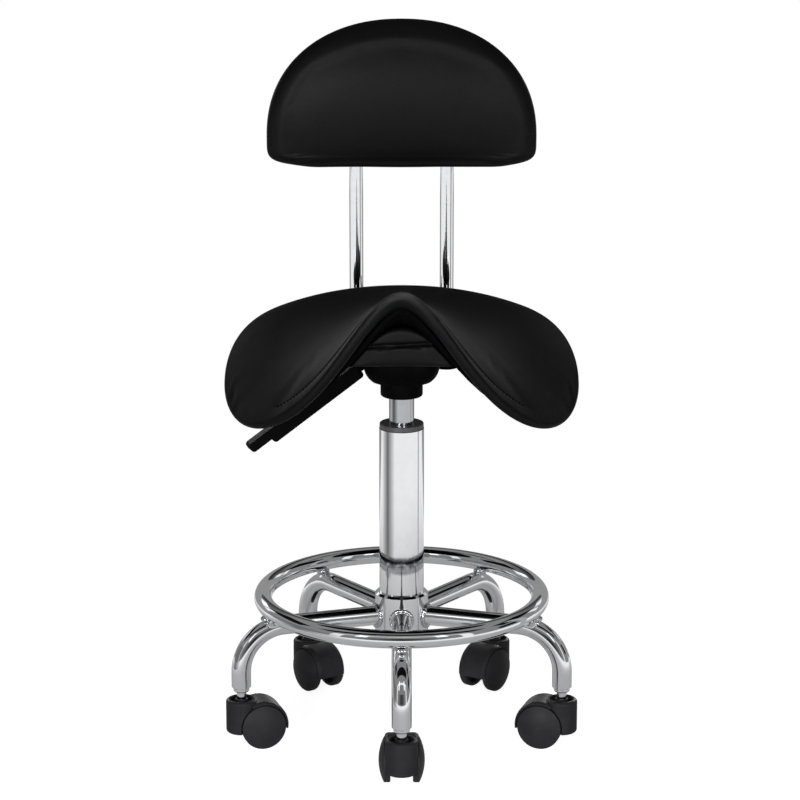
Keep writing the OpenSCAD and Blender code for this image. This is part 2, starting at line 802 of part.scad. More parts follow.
module rod_holders() {
    color("silver") difference() {
        at_rods() translate([0, 0, holder_z]) linear_extrude(height = holder_h) holder_section();
        at_screws() translate([0, 0, -holder_t - 1]) cylinder(r = back_screw_r + seat_gap, h = holder_t + 2);
    }
}

// Half-round outline of the back, shrunk by an inset
function back_edge(a, inset) =
    let (c = cos(a), q = sin(a), w = back_w / 2 - inset)
    let (up = back_h * 0.78 - inset, down = back_h * 0.22 - inset)
    q >= 0 ? [w * sign(c) * pow(abs(c), 0.9), up * pow(q, 0.9)]
    : [w * sign(c) * pow(abs(c), 0.45), -down * pow(-q, 0.45)];

// Fall of the back pad's face behind its foremost point
function back_fall(p, share) =
    let (up = (p[1] - 0.31 * back_h) / (back_h / 2), bow = back_bow * (up * up + pow(p[0] / back_w, 2)))
    bow + max(back_crown - bow, 0) * (1 - sqrt(1 - pow(share, 5)));

// Ring of the back pad's face at a share of its outline
function face_ring(share, front) =
    [for (j = [0:back_steps - 1])
        let (p = share * back_edge(360 * (j + 0.5) / back_steps, 0))
        [p[0], front + back_fall(p, share), back_middle + p[1]]];

// Ring of the back's outline, shrunk by an inset
function back_ring(inset, y) =
    [for (j = [0:back_steps - 1])
        let (p = back_edge(360 * (j + 0.5) / back_steps, inset))
        [p[0], y, back_middle + p[1]]];

module back_board() {
    rear = board_y + board_t;
    rings = [back_ring(7, board_y), back_ring(7, rear - 5), back_ring(8.4, rear - 1.5), back_ring(12, rear)];
    color("#1c1c1e") difference() {
        skin(rings, [0, board_y, back_middle], [0, rear, back_middle]);
        at_screws() translate([0, 0, -1]) cylinder(r = back_screw_r + seat_gap, h = 8);
    }
}

module back_screws() {
    color("silver") at_screws() {
        translate([0, 0, -holder_t - 1]) cylinder(r = back_screw_r, h = holder_t + 7.5);
        translate([0, 0, -holder_t - 2]) rounded_disc(2 * back_screw_r, 2, 0.8);
    }
}

module back_pad() {
    front = board_y - back_t;
    rear = board_y - pad_clear;
    rings = concat(
        [for (q = [0.25, 0.5, 0.68, 0.82, 0.91, 0.96, 0.985, 0.997, 1]) face_ring(q, front)],
        [back_ring(2, rear - 4), back_ring(5, rear)]);
    groove = rod_inside + 26;
    color("#18181a") difference() {
        skin(rings, [0, front + back_fall([0, 0], 0), back_middle], [0, rear, back_middle]);
        at_rods() translate([0, 0, back_foot - 20]) cylinder(r = back_rod_r + 1.2, h = groove);
        at_rods() translate([-26, -back_rod_r - holder_t - 1.5, holder_z - 2]) cube([52, 40, holder_h + 4]);
    }
}

hub_sleeve();
leg(1);  // leg_1
leg(2);  // leg_2
leg(3);  // leg_3
leg(4);  // leg_4
leg(5);  // leg_5
foot_ring();
base_welds();
stem_sockets();
castor_stems();
column_tube();
guide_sleeve();
bearing_race_lower();
bearing_balls();
castor_body(1);  // castor_body_1
castor_body(2);  // castor_body_2
castor_body(3);  // castor_body_3
castor_body(4);  // castor_body_4
castor_body(5);  // castor_body_5
castor_axle(1);  // castor_axle_1
castor_axle(2);  // castor_axle_2
castor_axle(3);  // castor_axle_3
castor_axle(4);  // castor_axle_4
castor_axle(5);  // castor_axle_5
wheel_left(1);  // wheel_left_1
wheel_left(2);  // wheel_left_2
wheel_left(3);  // wheel_left_3
wheel_left(4);  // wheel_left_4
wheel_left(5);  // wheel_left_5
wheel_right(1);  // wheel_right_1
wheel_right(2);  // wheel_right_2
wheel_right(3);  // wheel_right_3
wheel_right(4);  // wheel_right_4
wheel_right(5);  // wheel_right_5
piston_rod();
bump_stop();
bearing_race_upper();
retaining_clip();
pressure_tube();
rod_guide();
valve_button();
taper_socket();
lift_pan();
lift_plate();
plate_bolts();
lever_pin();
lever_rod();
lever_grip();
mount_block();
seat_shell();
seat_pad();
back_bracket();
clamp_knob(-1);  // clamp_knob_left
clamp_knob(1);  // clamp_knob_right
back_rods();
rod_caps();
rod_holders();
back_board();
back_screws();
back_pad();
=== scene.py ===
"""Dentist stool: finishes, upholstery, weld beads and studio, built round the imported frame."""

import logging
import math
from abc import ABC, abstractmethod
from collections.abc import Callable, Sequence
from dataclasses import dataclass, field
from enum import Enum

import bpy
import numpy as np
from bpy.types import Collection, Material, Node, NodeSocket, NodeTree, Object
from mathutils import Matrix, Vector


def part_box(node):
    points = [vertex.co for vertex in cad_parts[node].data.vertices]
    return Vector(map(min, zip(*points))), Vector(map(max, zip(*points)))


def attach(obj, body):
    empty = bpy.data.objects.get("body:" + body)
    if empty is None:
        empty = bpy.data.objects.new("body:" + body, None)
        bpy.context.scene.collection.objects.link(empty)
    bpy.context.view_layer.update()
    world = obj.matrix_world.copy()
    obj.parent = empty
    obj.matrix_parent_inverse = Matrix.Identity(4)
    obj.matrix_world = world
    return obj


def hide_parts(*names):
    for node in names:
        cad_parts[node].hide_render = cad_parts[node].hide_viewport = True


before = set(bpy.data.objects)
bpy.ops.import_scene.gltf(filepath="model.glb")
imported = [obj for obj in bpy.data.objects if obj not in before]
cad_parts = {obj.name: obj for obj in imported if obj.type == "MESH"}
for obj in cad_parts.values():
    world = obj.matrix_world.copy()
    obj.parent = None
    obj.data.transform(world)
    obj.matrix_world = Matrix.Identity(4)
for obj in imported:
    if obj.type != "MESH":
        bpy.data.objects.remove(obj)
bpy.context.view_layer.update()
MM = 0.001
LOG = logging.getLogger("dentist_stool")
WHITE = "#ffffff"
LEGS = range(1, 6)
Colour = tuple[float, float, float, float]
Place = tuple[float, float, float]
Shell = tuple[np.ndarray, list]


class Lit(Enum):
    """What a lamp lights: all but the chrome, or only the parts that face the rear."""

    MATT = "lit_from_front"
    REAR = "lit_from_rear"


class Hold(Enum):
    """How firmly a stretch of cover is held while it is puffed."""

    FREE = 0.0
    STRETCHED = 0.35
    SEWN = 1.0


def linear(hex_colour: str) -> Colour:
    """Turns an sRGB colour to linear light.

    Args:
        hex_colour: Colour as "#rrggbb".

    Returns:
        Linear red, green, blue and an alpha of 1.
    """
    parts = [int(hex_colour[k:k + 2], 16) / 255 for k in (1, 3, 5)]
    red, green, blue = (p / 12.92 if p <= 0.04045 else ((p + 0.055) / 1.055) ** 2.4 for p in parts)
    return red, green, blue, 1.0


def per_metre(size_mm: float) -> float:
    """Texture scale at which a pattern repeats about every size_mm."""
    return 1.0 / (size_mm * MM)


def bare_material(name: str) -> Material:
    """Makes a material whose node tree is empty.

    Args:
        name: Name of the material.

    Returns:
        The new material.
    """
    material = bpy.data.materials.new(name)
    material.use_nodes = True
    material.node_tree.nodes.clear()
    return material


def add_node(tree: NodeTree, kind: str, inputs: dict | None = None, **settings: object) -> Node:
    """Adds a node, sets its options, and sets or links its inputs.

    Args:
        tree: Node tree that gets the node.
        kind: Blender's name of the node type.
        inputs: Value or output socket for each input, by the input's name or number.
        **settings: Options of the node itself.

    Returns:
        The new node.
    """
    node = tree.nodes.new(kind)
    for option, value in settings.items():
        setattr(node, option, value)
    for key, value in (inputs or {}).items():
        if isinstance(value, NodeSocket):
            tree.links.new(value, node.inputs[key])
        else:
            node.inputs[key].default_value = value
    return node


@dataclass(frozen=True)
class Finish(ABC):
    """A real material and the way its surface was made.

    Attributes:
        name: Name of the material and its surface process.
        tone: Its colour.
    """

    name: str
    tone: str

    def material(self) -> Material:
        """Material of this finish, made when it is first asked for.

        Returns:
            The Blender material.
        """
        found = bpy.data.materials.get(self.name)
        if found is None:
            found = bare_material(self.name)
            tree = found.node_tree
            place = add_node(tree, "ShaderNodeTexCoord").outputs["Object"]
            shader = self.shade(tree, place)
            add_node(tree, "ShaderNodeOutputMaterial", {"Surface": shader.outputs["BSDF"]})
            found.diffuse_color = linear(self.tone)
        return found

    @abstractmethod
    def shade(self, tree: NodeTree, place: NodeSocket) -> Node:
        """Adds the nodes of this finish.

        Args:
            tree: The material's node tree.
            place: Position on the piece, in metres.

        Returns:
            The shader node.
        """


@dataclass(frozen=True)
class PlatedMetal(Finish):
    """Plated or drawn metal: a mirror softened by buffing waves, haze and drawing lines.

    Attributes:
        roughness: Roughness of the clean plate.
        haze: Roughness that hazed patches add.
        haze_mm: Size of those patches.
        wave_mm: Length of the buffing waves.
        wave_depth_mm: Height of the buffing waves.
        line_mm: Spacing of the lines that drawing or turning leaves.
        line_depth_mm: Depth of those lines.
        stain: Colour of the patches that the plate takes on less brightly.
    """

    roughness: float = 0.05
    haze: float = 0.05
    haze_mm: float = 9.0
    wave_mm: float = 30.0
    wave_depth_mm: float = 0.02
    line_mm: float = 1.5
    line_depth_mm: float = 0.0005
    stain: str = "#b9babd"

    def shade(self, tree: NodeTree, place: NodeSocket) -> Node:
        """Adds the metal's nodes; see Finish.shade."""
        waves = add_node(tree, "ShaderNodeTexNoise",
                         {"Vector": place, "Scale": per_metre(self.wave_mm), "Detail": 1.0})
        haze = add_node(tree, "ShaderNodeTexNoise",
                        {"Vector": place, "Scale": per_metre(self.haze_mm), "Detail": 5.0})
        lines = add_node(tree, "ShaderNodeTexWave",
                         {"Vector": place, "Scale": per_metre(self.line_mm) / math.tau, "Distortion": 1.5},
                         wave_type="BANDS", bands_direction="Z")
        roughness = add_node(tree, "ShaderNodeMapRange",
                             {"Value": haze.outputs["Fac"], "From Min": 0.45, "From Max": 0.75,
                              "To Min": self.roughness, "To Max": self.roughness + self.haze})
        tone = add_node(tree, "ShaderNodeMix",
                        {0: haze.outputs["Fac"], 6: linear(self.tone), 7: linear(self.stain)},
                        data_type="RGBA")
        drawn = add_node(tree, "ShaderNodeBump",
                         {"Height": lines.outputs["Fac"], "Distance": self.line_depth_mm * MM})
        buffed = add_node(tree, "ShaderNodeBump",
                          {"Height": waves.outputs["Fac"], "Distance": self.wave_depth_mm * MM,
                           "Normal": drawn.outputs["Normal"]})
        return add_node(tree, "ShaderNodeBsdfPrincipled",
                        {"Base Color": tone.outputs[2], "Metallic": 1.0,
                         "Roughness": roughness.outputs["Result"], "Normal": buffed.outputs["Normal"]})


@dataclass(frozen=True)
class GrainedCoat(Finish):
    """Moulded plastic, rubber or powder coat: a fine even grain under a slightly uneven sheen.

    Attributes:
        scuffed: Colour of the rubbed patches.
        roughness: Roughness of the smoothest patches.
        sheen_range: Roughness that the dullest patches add.
        patch_mm: Size of the rubbed patches.
        grain_mm: Size of the grain.
        grain_depth_mm: Depth of the grain.
        specular: Specular level of the surface.
        ior: Index of refraction.
    """

    scuffed: str = "#3a3a3c"
    roughness: float = 0.42
    sheen_range: float = 0.15
    patch_mm: float = 22.0
    grain_mm: float = 1.2
    grain_depth_mm: float = 0.02
    specular: float = 0.5
    ior: float = 1.5

    def shade(self, tree: NodeTree, place: NodeSocket) -> Node:
        """Adds the coat's nodes; see Finish.shade."""
        patches = add_node(tree, "ShaderNodeTexNoise",
                           {"Vector": place, "Scale": per_metre(self.patch_mm), "Detail": 6.0,
                            "Roughness": 0.6})
        grain = add_node(tree, "ShaderNodeTexNoise",
                         {"Vector": place, "Scale": per_metre(self.grain_mm), "Detail": 2.0})
        rubbed = add_node(tree, "ShaderNodeMapRange",
                          {"Value": patches.outputs["Fac"], "From Min": 0.4, "From Max": 0.8})
        tone = add_node(tree, "ShaderNodeMix",
                        {0: rubbed.outputs["Result"], 6: linear(self.tone), 7: linear(self.scuffed)},
                        data_type="RGBA")
        roughness = add_node(tree, "ShaderNodeMapRange",
                             {"Value": patches.outputs["Fac"], "From Min": 0.3, "From Max": 0.7,
                              "To Min": self.roughness, "To Max": self.roughness + self.sheen_range})
        bump = add_node(tree, "ShaderNodeBump",
                        {"Height": grain.outputs["Fac"], "Distance": self.grain_depth_mm * MM})
        return add_node(tree, "ShaderNodeBsdfPrincipled",
                        {"Base Color": tone.outputs[2], "Roughness": roughness.outputs["Result"],
                         "IOR": self.ior, "Specular IOR Level": self.specular,
                         "Normal": bump.outputs["Normal"]})


@dataclass(frozen=True)
class VinylHide(Finish):
    """Soft vinyl pressed with a hide grain: pebbles between fine creases, over slack swells.

    Attributes:
        rubbed: Colour where the hide is rubbed.
        roughness: Roughness of the polished pebbles.
        sheen_range: Roughness that the creases and dull patches add.
        pebble_mm: Size of the pressed pebbles.
        pebble_depth_mm: Depth of the creases between them.
        swell_mm: Length of the slack swells of the cover.
        swell_depth_mm: Height of those swells.
        patch_mm: Size of the rubbed and dull patches.
        specular: Specular level of the skin.
    """

    rubbed: str = "#0b0b0c"
    roughness: float = 0.43
    sheen_range: float = 0.06
    pebble_mm: float = 2.2
    pebble_depth_mm: float = 0.05
    swell_mm: float = 60.0
    swell_depth_mm: float = 0.6
    patch_mm: float = 150.0
    specular: float = 0.09

    def shade(self, tree: NodeTree, place: NodeSocket) -> Node:
        """Adds the hide's nodes; see Finish.shade."""
        pebbles = add_node(tree, "ShaderNodeTexVoronoi",
                           {"Vector": place, "Scale": per_metre(self.pebble_mm)},
                           feature="DISTANCE_TO_EDGE")
        domes = add_node(tree, "ShaderNodeMapRange",
                         {"Value": pebbles.outputs["Distance"], "From Max": 0.25},
                         interpolation_type="SMOOTHSTEP")
        swells = add_node(tree, "ShaderNodeTexNoise",
                          {"Vector": place, "Scale": per_metre(self.swell_mm), "Detail": 2.0})
        patches = add_node(tree, "ShaderNodeTexNoise",
                           {"Vector": place, "Scale": per_metre(self.patch_mm), "Detail": 4.0})
        tone = add_node(tree, "ShaderNodeMix",
                        {0: patches.outputs["Fac"], 6: linear(self.tone), 7: linear(self.rubbed)},
                        data_type="RGBA")
        roughness = add_node(tree, "ShaderNodeMapRange",
                             {"Value": patches.outputs["Fac"], "From Min": 0.35, "From Max": 0.65,
                              "To Min": self.roughness, "To Max": self.roughness + self.sheen_range})
        slack = add_node(tree, "ShaderNodeBump",
                         {"Height": swells.outputs["Fac"], "Distance": self.swell_depth_mm * MM})
        pressed = add_node(tree, "ShaderNodeBump",
                           {"Height": domes.outputs["Result"], "Distance": self.pebble_depth_mm * MM,
                            "Normal": slack.outputs["Normal"]})
        return add_node(tree, "ShaderNodeBsdfPrincipled",
                        {"Base Color": tone.outputs[2], "Roughness": roughness.outputs["Result"],
                         "Specular IOR Level": self.specular, "Normal": pressed.outputs["Normal"]})


# Bright chrome on buffed steel tube: a near-black-and-white mirror with faint waves.
CHROME = PlatedMetal("chrome_plate_buffed", "#eeeef0", roughness=0.05, haze=0.03, stain="#e2e3e5")
# Chrome over a weld bead: the same plate, too uneven to buff flat.
WELD_CHROME = PlatedMetal("chrome_plate_over_weld", "#d6d7da", roughness=0.09, wave_mm=3.0,
                          wave_depth_mm=0.12)
# Precision steel tube with a hard-chromed, ground skin: a softer mirror with fine rings.
GROUND_STEEL = PlatedMetal("hard_chrome_ground", "#a6a7a9", roughness=0.1, haze=0.03, line_depth_mm=0.002)
# Zinc-plated steel: pale grey, faintly mottled.
ZINC = PlatedMetal("zinc_plated_steel", "#b4b6ba", roughness=0.28, haze=0.14, haze_mm=4.0, stain="#9da0a6")
# Black powder coat, baked: satin, with a slight orange peel.
POWDER_COAT = GrainedCoat("black_powder_coat_baked", "#040405", scuffed="#080809", roughness=0.46,
                          grain_mm=2.4, grain_depth_mm=0.05, specular=0.015)
# Nylon moulded against a spark-eroded tool: dark grey and matt.
CASTOR_NYLON = GrainedCoat("nylon_spark_grain_moulded", "#252527", scuffed="#2d2d2f", roughness=0.48,
                           specular=0.1)
# Nylon moulded against a plain tool: the same grey, a little smoother on the domed wheel faces.
WHEEL_NYLON = GrainedCoat("nylon_plain_moulded", "#272729", scuffed="#2f2f31", roughness=0.4,
                          grain_depth_mm=0.012, specular=0.1)
# Polypropylene, moulded: black with a soft sheen.
POLYPROPYLENE = GrainedCoat("polypropylene_moulded", "#0e0e0f", scuffed="#151516", roughness=0.42,
                            specular=0.06, ior=1.49)
# The same plastic moulded against an etched tool, for what the hand holds: black and dull.
GRIP_PLASTIC = GrainedCoat("polypropylene_etched_moulded", "#050506", scuffed="#0a0a0b", roughness=0.52,
                           specular=0.025, ior=1.49)
# Polypropylene sheet, vacuum-formed: dull, because the mould's side is turned in; its near-black tone is partly
# the sheet's own black and partly painted shade under the saddle's arch.
FORMED_SHEET = GrainedCoat("polypropylene_vacuum_formed", "#050506", scuffed="#080809", roughness=0.5,
                           specular=0.012)
# Acetal, turned: dark grey and slightly waxy.
ACETAL = GrainedCoat("acetal_turned", "#3c3c3f", scuffed="#4a4a4d", roughness=0.34, grain_mm=0.9, ior=1.48)
# Rubber, moulded: dull black.
RUBBER = GrainedCoat("rubber_moulded", "#161616", scuffed="#212121", roughness=0.7, specular=0.3)
# Vinyl upholstery, pressed with a hide grain: near black with a low sheen.
VINYL = VinylHide("vinyl_hide_grain_pressed", "#060607")
# The same vinyl pulled tight over the back board, so its swells are flatter.
BOARD_VINYL = VinylHide("vinyl_pulled_over_board", "#060607", swell_depth_mm=0.15)
# Polyester thread, twisted: black and dull, so that each stitch is a dark dot on the sheen of the vinyl.
THREAD = GrainedCoat("polyester_thread_twisted", "#040405", scuffed="#070708", roughness=0.7, grain_mm=0.8,
                     specular=0.02)

# Nodes that the lamps leave out, because chrome mirrors the studio's cards alone.
CHROME_NODES = (*(f"leg_{k}" for k in LEGS), "hub_sleeve", "foot_ring", "castor_stems", "column_tube",
                "back_rods")
# Black parts that the two lamps behind the stool light, so that they can be told apart from there.
REAR_NODES = ("back_board", "back_screws", "rod_holders", "rod_caps", "back_bracket", "clamp_knob_left",
              "clamp_knob_right", "lift_pan", "lift_plate", "taper_socket", "seat_shell", "lever_rod",
              "lever_grip", *(f"{part}_{k}" for part in ("castor_body", "wheel_left", "wheel_right")
                              for k in LEGS))
# A direction that no swept line starts along, from which a sweep's first normal is taken.
ASKEW = (0.31, 0.17, 0.93)
# Step over which a slope is measured, and a distance too small to matter.
STEP_MM = 0.5
TOUCH_MM = 0.01
PUFF_FRAMES = 20


def squared(wave: np.ndarray, power: float | np.ndarray) -> np.ndarray:
    """Sine or cosine raised to a power with its sign kept, which squares or pinches a round outline."""
    return np.sign(wave) * np.abs(wave) ** power


def over_plate(points: np.ndarray) -> np.ndarray:
    """Points in metres, from points in mm over the lift's plate."""
    return points * MM + np.array((0, 0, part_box("lift_plate")[1].z))


def add_piece(name: str, points: np.ndarray, faces: Sequence[Sequence[int]], finish: Finish, body: str) -> Object:
    """Makes a smooth mesh that rides on a body, and reports it.

    Args:
        name: Name of the piece.
        points: Its corners, in metres.
        faces: Corner numbers of each face.
        finish: Its finish.
        body: Body that it moves with.

    Returns:
        The new object.
    """
    mesh = bpy.data.meshes.new(name)
    mesh.from_pydata([tuple(p) for p in points], [], [tuple(int(k) for k in f) for f in faces])
    mesh.validate()
    mesh.shade_smooth()
    mesh.materials.append(finish.material())
    piece = bpy.data.objects.new(name, mesh)
    bpy.context.scene.collection.objects.link(piece)
    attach(piece, body)
    LOG.info("%s: %d faces, %s, on %s", name, len(mesh.polygons), finish.name, body)
    return piece


def join_shells(shells: Sequence[Shell]) -> Shell:
    """Puts several meshes in one list of points and faces.

    Args:
        shells: Points and faces of each mesh.

    Returns:
        All points, and all faces with their numbers moved up.
    """
    points, faces, start = [], [], 0
    for shell_points, shell_faces in shells:
        points.append(shell_points)
        faces.extend([[k + start for k in f] for f in shell_faces])
        start += len(shell_points)
    return np.concatenate(points), faces


def tube_along(path: np.ndarray, radii: np.ndarray, sides: int, closed: bool) -> Shell:
    """Sweeps a round section along a path.

    Args:
        path: Points of the centre line.
        radii: Radius at each point.
        sides: Number of sides of the section.
        closed: Whether the last point joins the first.

    Returns:
        Points and faces of the tube, capped if it is open.
    """
    count = len(path)
    ahead = np.roll(path, -1, 0) - np.roll(path, 1, 0)
    if not closed:
        ahead[0], ahead[-1] = path[1] - path[0], path[-1] - path[-2]
    ahead /= np.linalg.norm(ahead, axis=1)[:, None]
    normal = np.zeros_like(path)
    guess = np.cross(ahead[0], ASKEW)
    for k in range(count):
        guess = guess - ahead[k] * (guess @ ahead[k])
        guess /= np.linalg.norm(guess)
        normal[k] = guess
    across = np.cross(ahead, normal)
    turn = np.linspace(0, math.tau, sides, endpoint=False)
    points = (path[:, None] + radii[:, None, None] * (np.cos(turn)[None, :, None] * normal[:, None]
              + np.sin(turn)[None, :, None] * across[:, None])).reshape(-1, 3)
    spans = range(count if closed else count - 1)
    faces = [[k * sides + j, k * sides + (j + 1) % sides, (k + 1) % count * sides + (j + 1) % sides,
              (k + 1) % count * sides + j] for k in spans for j in range(sides)]
    if not closed:
        faces.append(list(range(sides))[::-1])
        faces.append([(count - 1) * sides + j for j in range(sides)])
    return points, faces


@dataclass(frozen=True)
class Foam:
    """Foam that fills a cover.

    Attributes:
        pressure: How hard it presses the cover out.
        cap_mm: Most that a point of the cover may move.
    """

    pressure: float
    cap_mm: float


@dataclass
class PaddedCover:
    """Closed cover of a pad: rings that follow its outline over its face, round its rim and over its back.

    Attributes:
        surface: Gives points in metres for arrays of outline shares, angles and depths.
        face: Share and depth in mm of each ring of the face, from the middle out.
        rim: Share and depth of each row of the rim.
        back: Share and depth of each ring of the back, from the middle out; one fewer than the face has.
        turned: Whether the outline runs the other way round, seen from the face's side.
        sewn_rows: Rows at the end of the rim that are held as fast as the back.
    """

    surface: Callable[[np.ndarray, np.ndarray, np.ndarray], np.ndarray]
    face: Sequence[tuple[float, float]]
    rim: Sequence[tuple[float, float]]
    back: Sequence[tuple[float, float]]
    turned: bool = False
    sewn_rows: int = 3
    points: np.ndarray = field(init=False)
    faces: list = field(init=False)
    hold: np.ndarray = field(init=False)
    loops: dict[int, np.ndarray] = field(init=False)

    def __post_init__(self) -> None:
        """Lays out the points, faces and holds."""
        reach = len(self.face) - 1
        steps = np.arange(-reach, reach + 1)
        right, up = (a.ravel() for a in np.meshgrid(steps, steps))
        ring = np.maximum(np.abs(right), np.abs(up))
        angle = self._ring_angle(right, up)
        order = {k: np.flatnonzero(ring == k)[np.argsort(angle[ring == k])] for k in range(1, reach + 1)}
        self.loops = order
        edge = order[reach]
        face_at = np.array(self.face)[ring]
        shares, angles, depths = [face_at[:, 0]], [angle], [face_at[:, 1]]
        for share, depth in self.rim:
            shares.append(np.full(len(edge), share))
            angles.append(angle[edge])
            depths.append(np.full(len(edge), depth))
        inner = np.flatnonzero(ring < reach)
        back_at = np.array(self.back)[ring[inner]]
        shares.append(back_at[:, 0])
        angles.append(angle[inner])
        depths.append(back_at[:, 1])
        self.points = self.surface(np.concatenate(shares), np.concatenate(angles), np.concatenate(depths))
        rim_start = len(ring)
        back_start = rim_start + len(edge) * len(self.rim)
        behind = np.zeros(len(ring), int)
        behind[inner] = back_start + np.arange(len(inner))
        behind[edge] = back_start - len(edge) + np.arange(len(edge))
        self.faces = self._grid_faces(2 * reach + 1, np.arange(len(ring)), False)
        rows = [edge] + [rim_start + k * len(edge) + np.arange(len(edge)) for k in range(len(self.rim))]
        for first, second in zip(rows, rows[1:]):
            quads = zip(first, second, np.roll(second, -1), np.roll(first, -1))
            self.faces.extend([list(quad) for quad in quads])
        self.faces.extend(self._grid_faces(2 * reach + 1, behind, True))
        if self.turned:
            self.faces = [f[::-1] for f in self.faces]
        sewn_start = back_start - self.sewn_rows * len(edge)
        self.hold = np.full(len(self.points), Hold.FREE.value)
        self.hold[rim_start:sewn_start] = Hold.STRETCHED.value
        self.hold[sewn_start:] = Hold.SEWN.value

    def upholster(self, name: str, body: str, fill: float, node: str = "",
                  foam: Foam | None = None) -> Object:
        """Makes the cover in vinyl, puffs it if it has foam, and smooths it.

        Args:
            name: Name of the piece.
            body: Body that it moves with.
            fill: How tightly it is filled, from 0 to 1; not used.
            node: CAD node that it stands for, if there is one.
            foam: Foam that puffs it.

        Returns:
            The new piece.
        """
        piece = add_piece(name, self.points, self.faces, VINYL, body)
        if foam:
            puff(piece, self.hold, foam)
        piece.modifiers.new("smooth", "SUBSURF").render_levels = 1
        if node:
            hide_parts(node)
        return piece

    @staticmethod
    def _ring_angle(right: np.ndarray, up: np.ndarray) -> np.ndarray:
        """Angle of each grid point when the square rings are wrapped to round ones.

        Args:
            right: Column of each point, counted from the middle.
            up: Row of each point, counted from the middle.

        Returns:
            Angles from 0 to a full turn.
        """
        wide = np.abs(right) >= np.abs(up)
        base = np.where(wide, right, up).astype(float)
        share = np.where(wide, up, right) / np.where(base == 0, 1, base)
        angle = np.where(wide, share * math.pi / 4, math.pi / 2 - share * math.pi / 4)
        return np.mod(angle + np.where(base < 0, math.pi, 0), math.tau)

    @staticmethod
    def _grid_faces(side: int, index: np.ndarray, flip: bool) -> list[list[int]]:
        """Faces of a square grid.

        Args:
            side: Points along a side.
            index: Point number at each place of the grid.
            flip: Whether the faces look the other way.

        Returns:
            Corner numbers of each face.
        """
        grid = index.reshape(side, side)
        quads = np.stack([grid[:-1, :-1], grid[:-1, 1:], grid[1:, 1:], grid[1:, :-1]], -1).reshape(-1, 4)
        return (quads[:, ::-1] if flip else quads).tolist()


@dataclass(frozen=True)
class CrownedForm:
    """Crowned face, straight side and flat back of a pad.

    Attributes:
        rings: Rings of the face, closer together towards its edge.
        crown_mm: Depth of the crown from its middle to its edge.
        crown_power: How late the crown turns back.
        side_rows: Rows of the straight side.
        side_end_mm: Distance from the back at which the side ends.
        side_pull: Share by which the side draws in on its way to the back.
        hem: Share and distance from the back of each row that turns in to it.
        back_share: Share of the outline that the back's rings fill.
    """

    rings: int
    crown_mm: float
    crown_power: float
    side_rows: int
    side_end_mm: float
    side_pull: float
    hem: tuple[tuple[float, float], ...]
    back_share: float

    def cover(self, surface: Callable[[np.ndarray, np.ndarray, np.ndarray], np.ndarray],
              thick_mm: float) -> PaddedCover:
        """Lays a cover over the form.

        Args:
            surface: Gives points in metres for arrays of outline shares, angles and depths.
            thick_mm: Depth from the middle of the face to the back.

        Returns:
            The cover.
        """
        turns = np.sin(np.linspace(0, math.pi / 2, self.rings))
        face = [(q, self.crown_mm * (1 - math.sqrt(1 - q ** self.crown_power))) for q in turns]
        side = np.linspace(self.crown_mm, thick_mm - self.side_end_mm, self.side_rows + 1)[1:]
        rim = [(1.0 - self.side_pull * k / len(side), d) for k, d in enumerate(side)]
        rim += [(share, thick_mm - inward) for share, inward in self.hem]
        back = [(q, thick_mm) for q in np.linspace(0, self.back_share, len(face) - 1)]
        return PaddedCover(surface, face, rim, back, turned=True)


def puff(piece: Object, hold: np.ndarray, foam: Foam) -> None:
    """Swells a cover with cloth simulation, and keeps the result in its mesh.

    Args:
        piece: The cover.
        hold: How firmly each point is held, from 0 to 1.
        foam: Foam under it.
    """
    scene = bpy.context.scene
    rest = np.array([v.co for v in piece.data.vertices])
    group = piece.vertex_groups.new(name="held")
    for level in np.unique(hold):
        group.add(np.flatnonzero(hold == level).tolist(), float(level), "REPLACE")
    cloth = piece.modifiers.new("puff", "CLOTH")
    settings = cloth.settings
    settings.quality = 6
    settings.mass = 0.3
    settings.tension_stiffness = settings.compression_stiffness = 18
    settings.shear_stiffness = 8
    settings.bending_stiffness = 2
    settings.use_pressure = True
    settings.uniform_pressure_force = foam.pressure
    settings.effector_weights.gravity = 0
    settings.vertex_group_mass = group.name
    cloth.collision_settings.use_self_collision = False
    cloth.point_cache.frame_end = PUFF_FRAMES
    for frame_number in range(1, PUFF_FRAMES + 1):
        scene.frame_set(frame_number)
    shown = piece.evaluated_get(bpy.context.evaluated_depsgraph_get())
    moved = np.array([v.co for v in shown.data.vertices]) - rest
    length = np.linalg.norm(moved, axis=1)
    piece.modifiers.remove(cloth)
    piece.vertex_groups.remove(group)
    scene.frame_set(1)
    cap = foam.cap_mm * MM
    moved *= (cap * np.tanh(length / cap) / np.maximum(length, 1e-9))[:, None]
    piece.data.vertices.foreach_set("co", (rest + moved).astype(np.float32).ravel())
    piece.data.update()
    LOG.info("%s: puffed by up to %.1f mm", piece.name, np.linalg.norm(moved, axis=1).max() / MM)


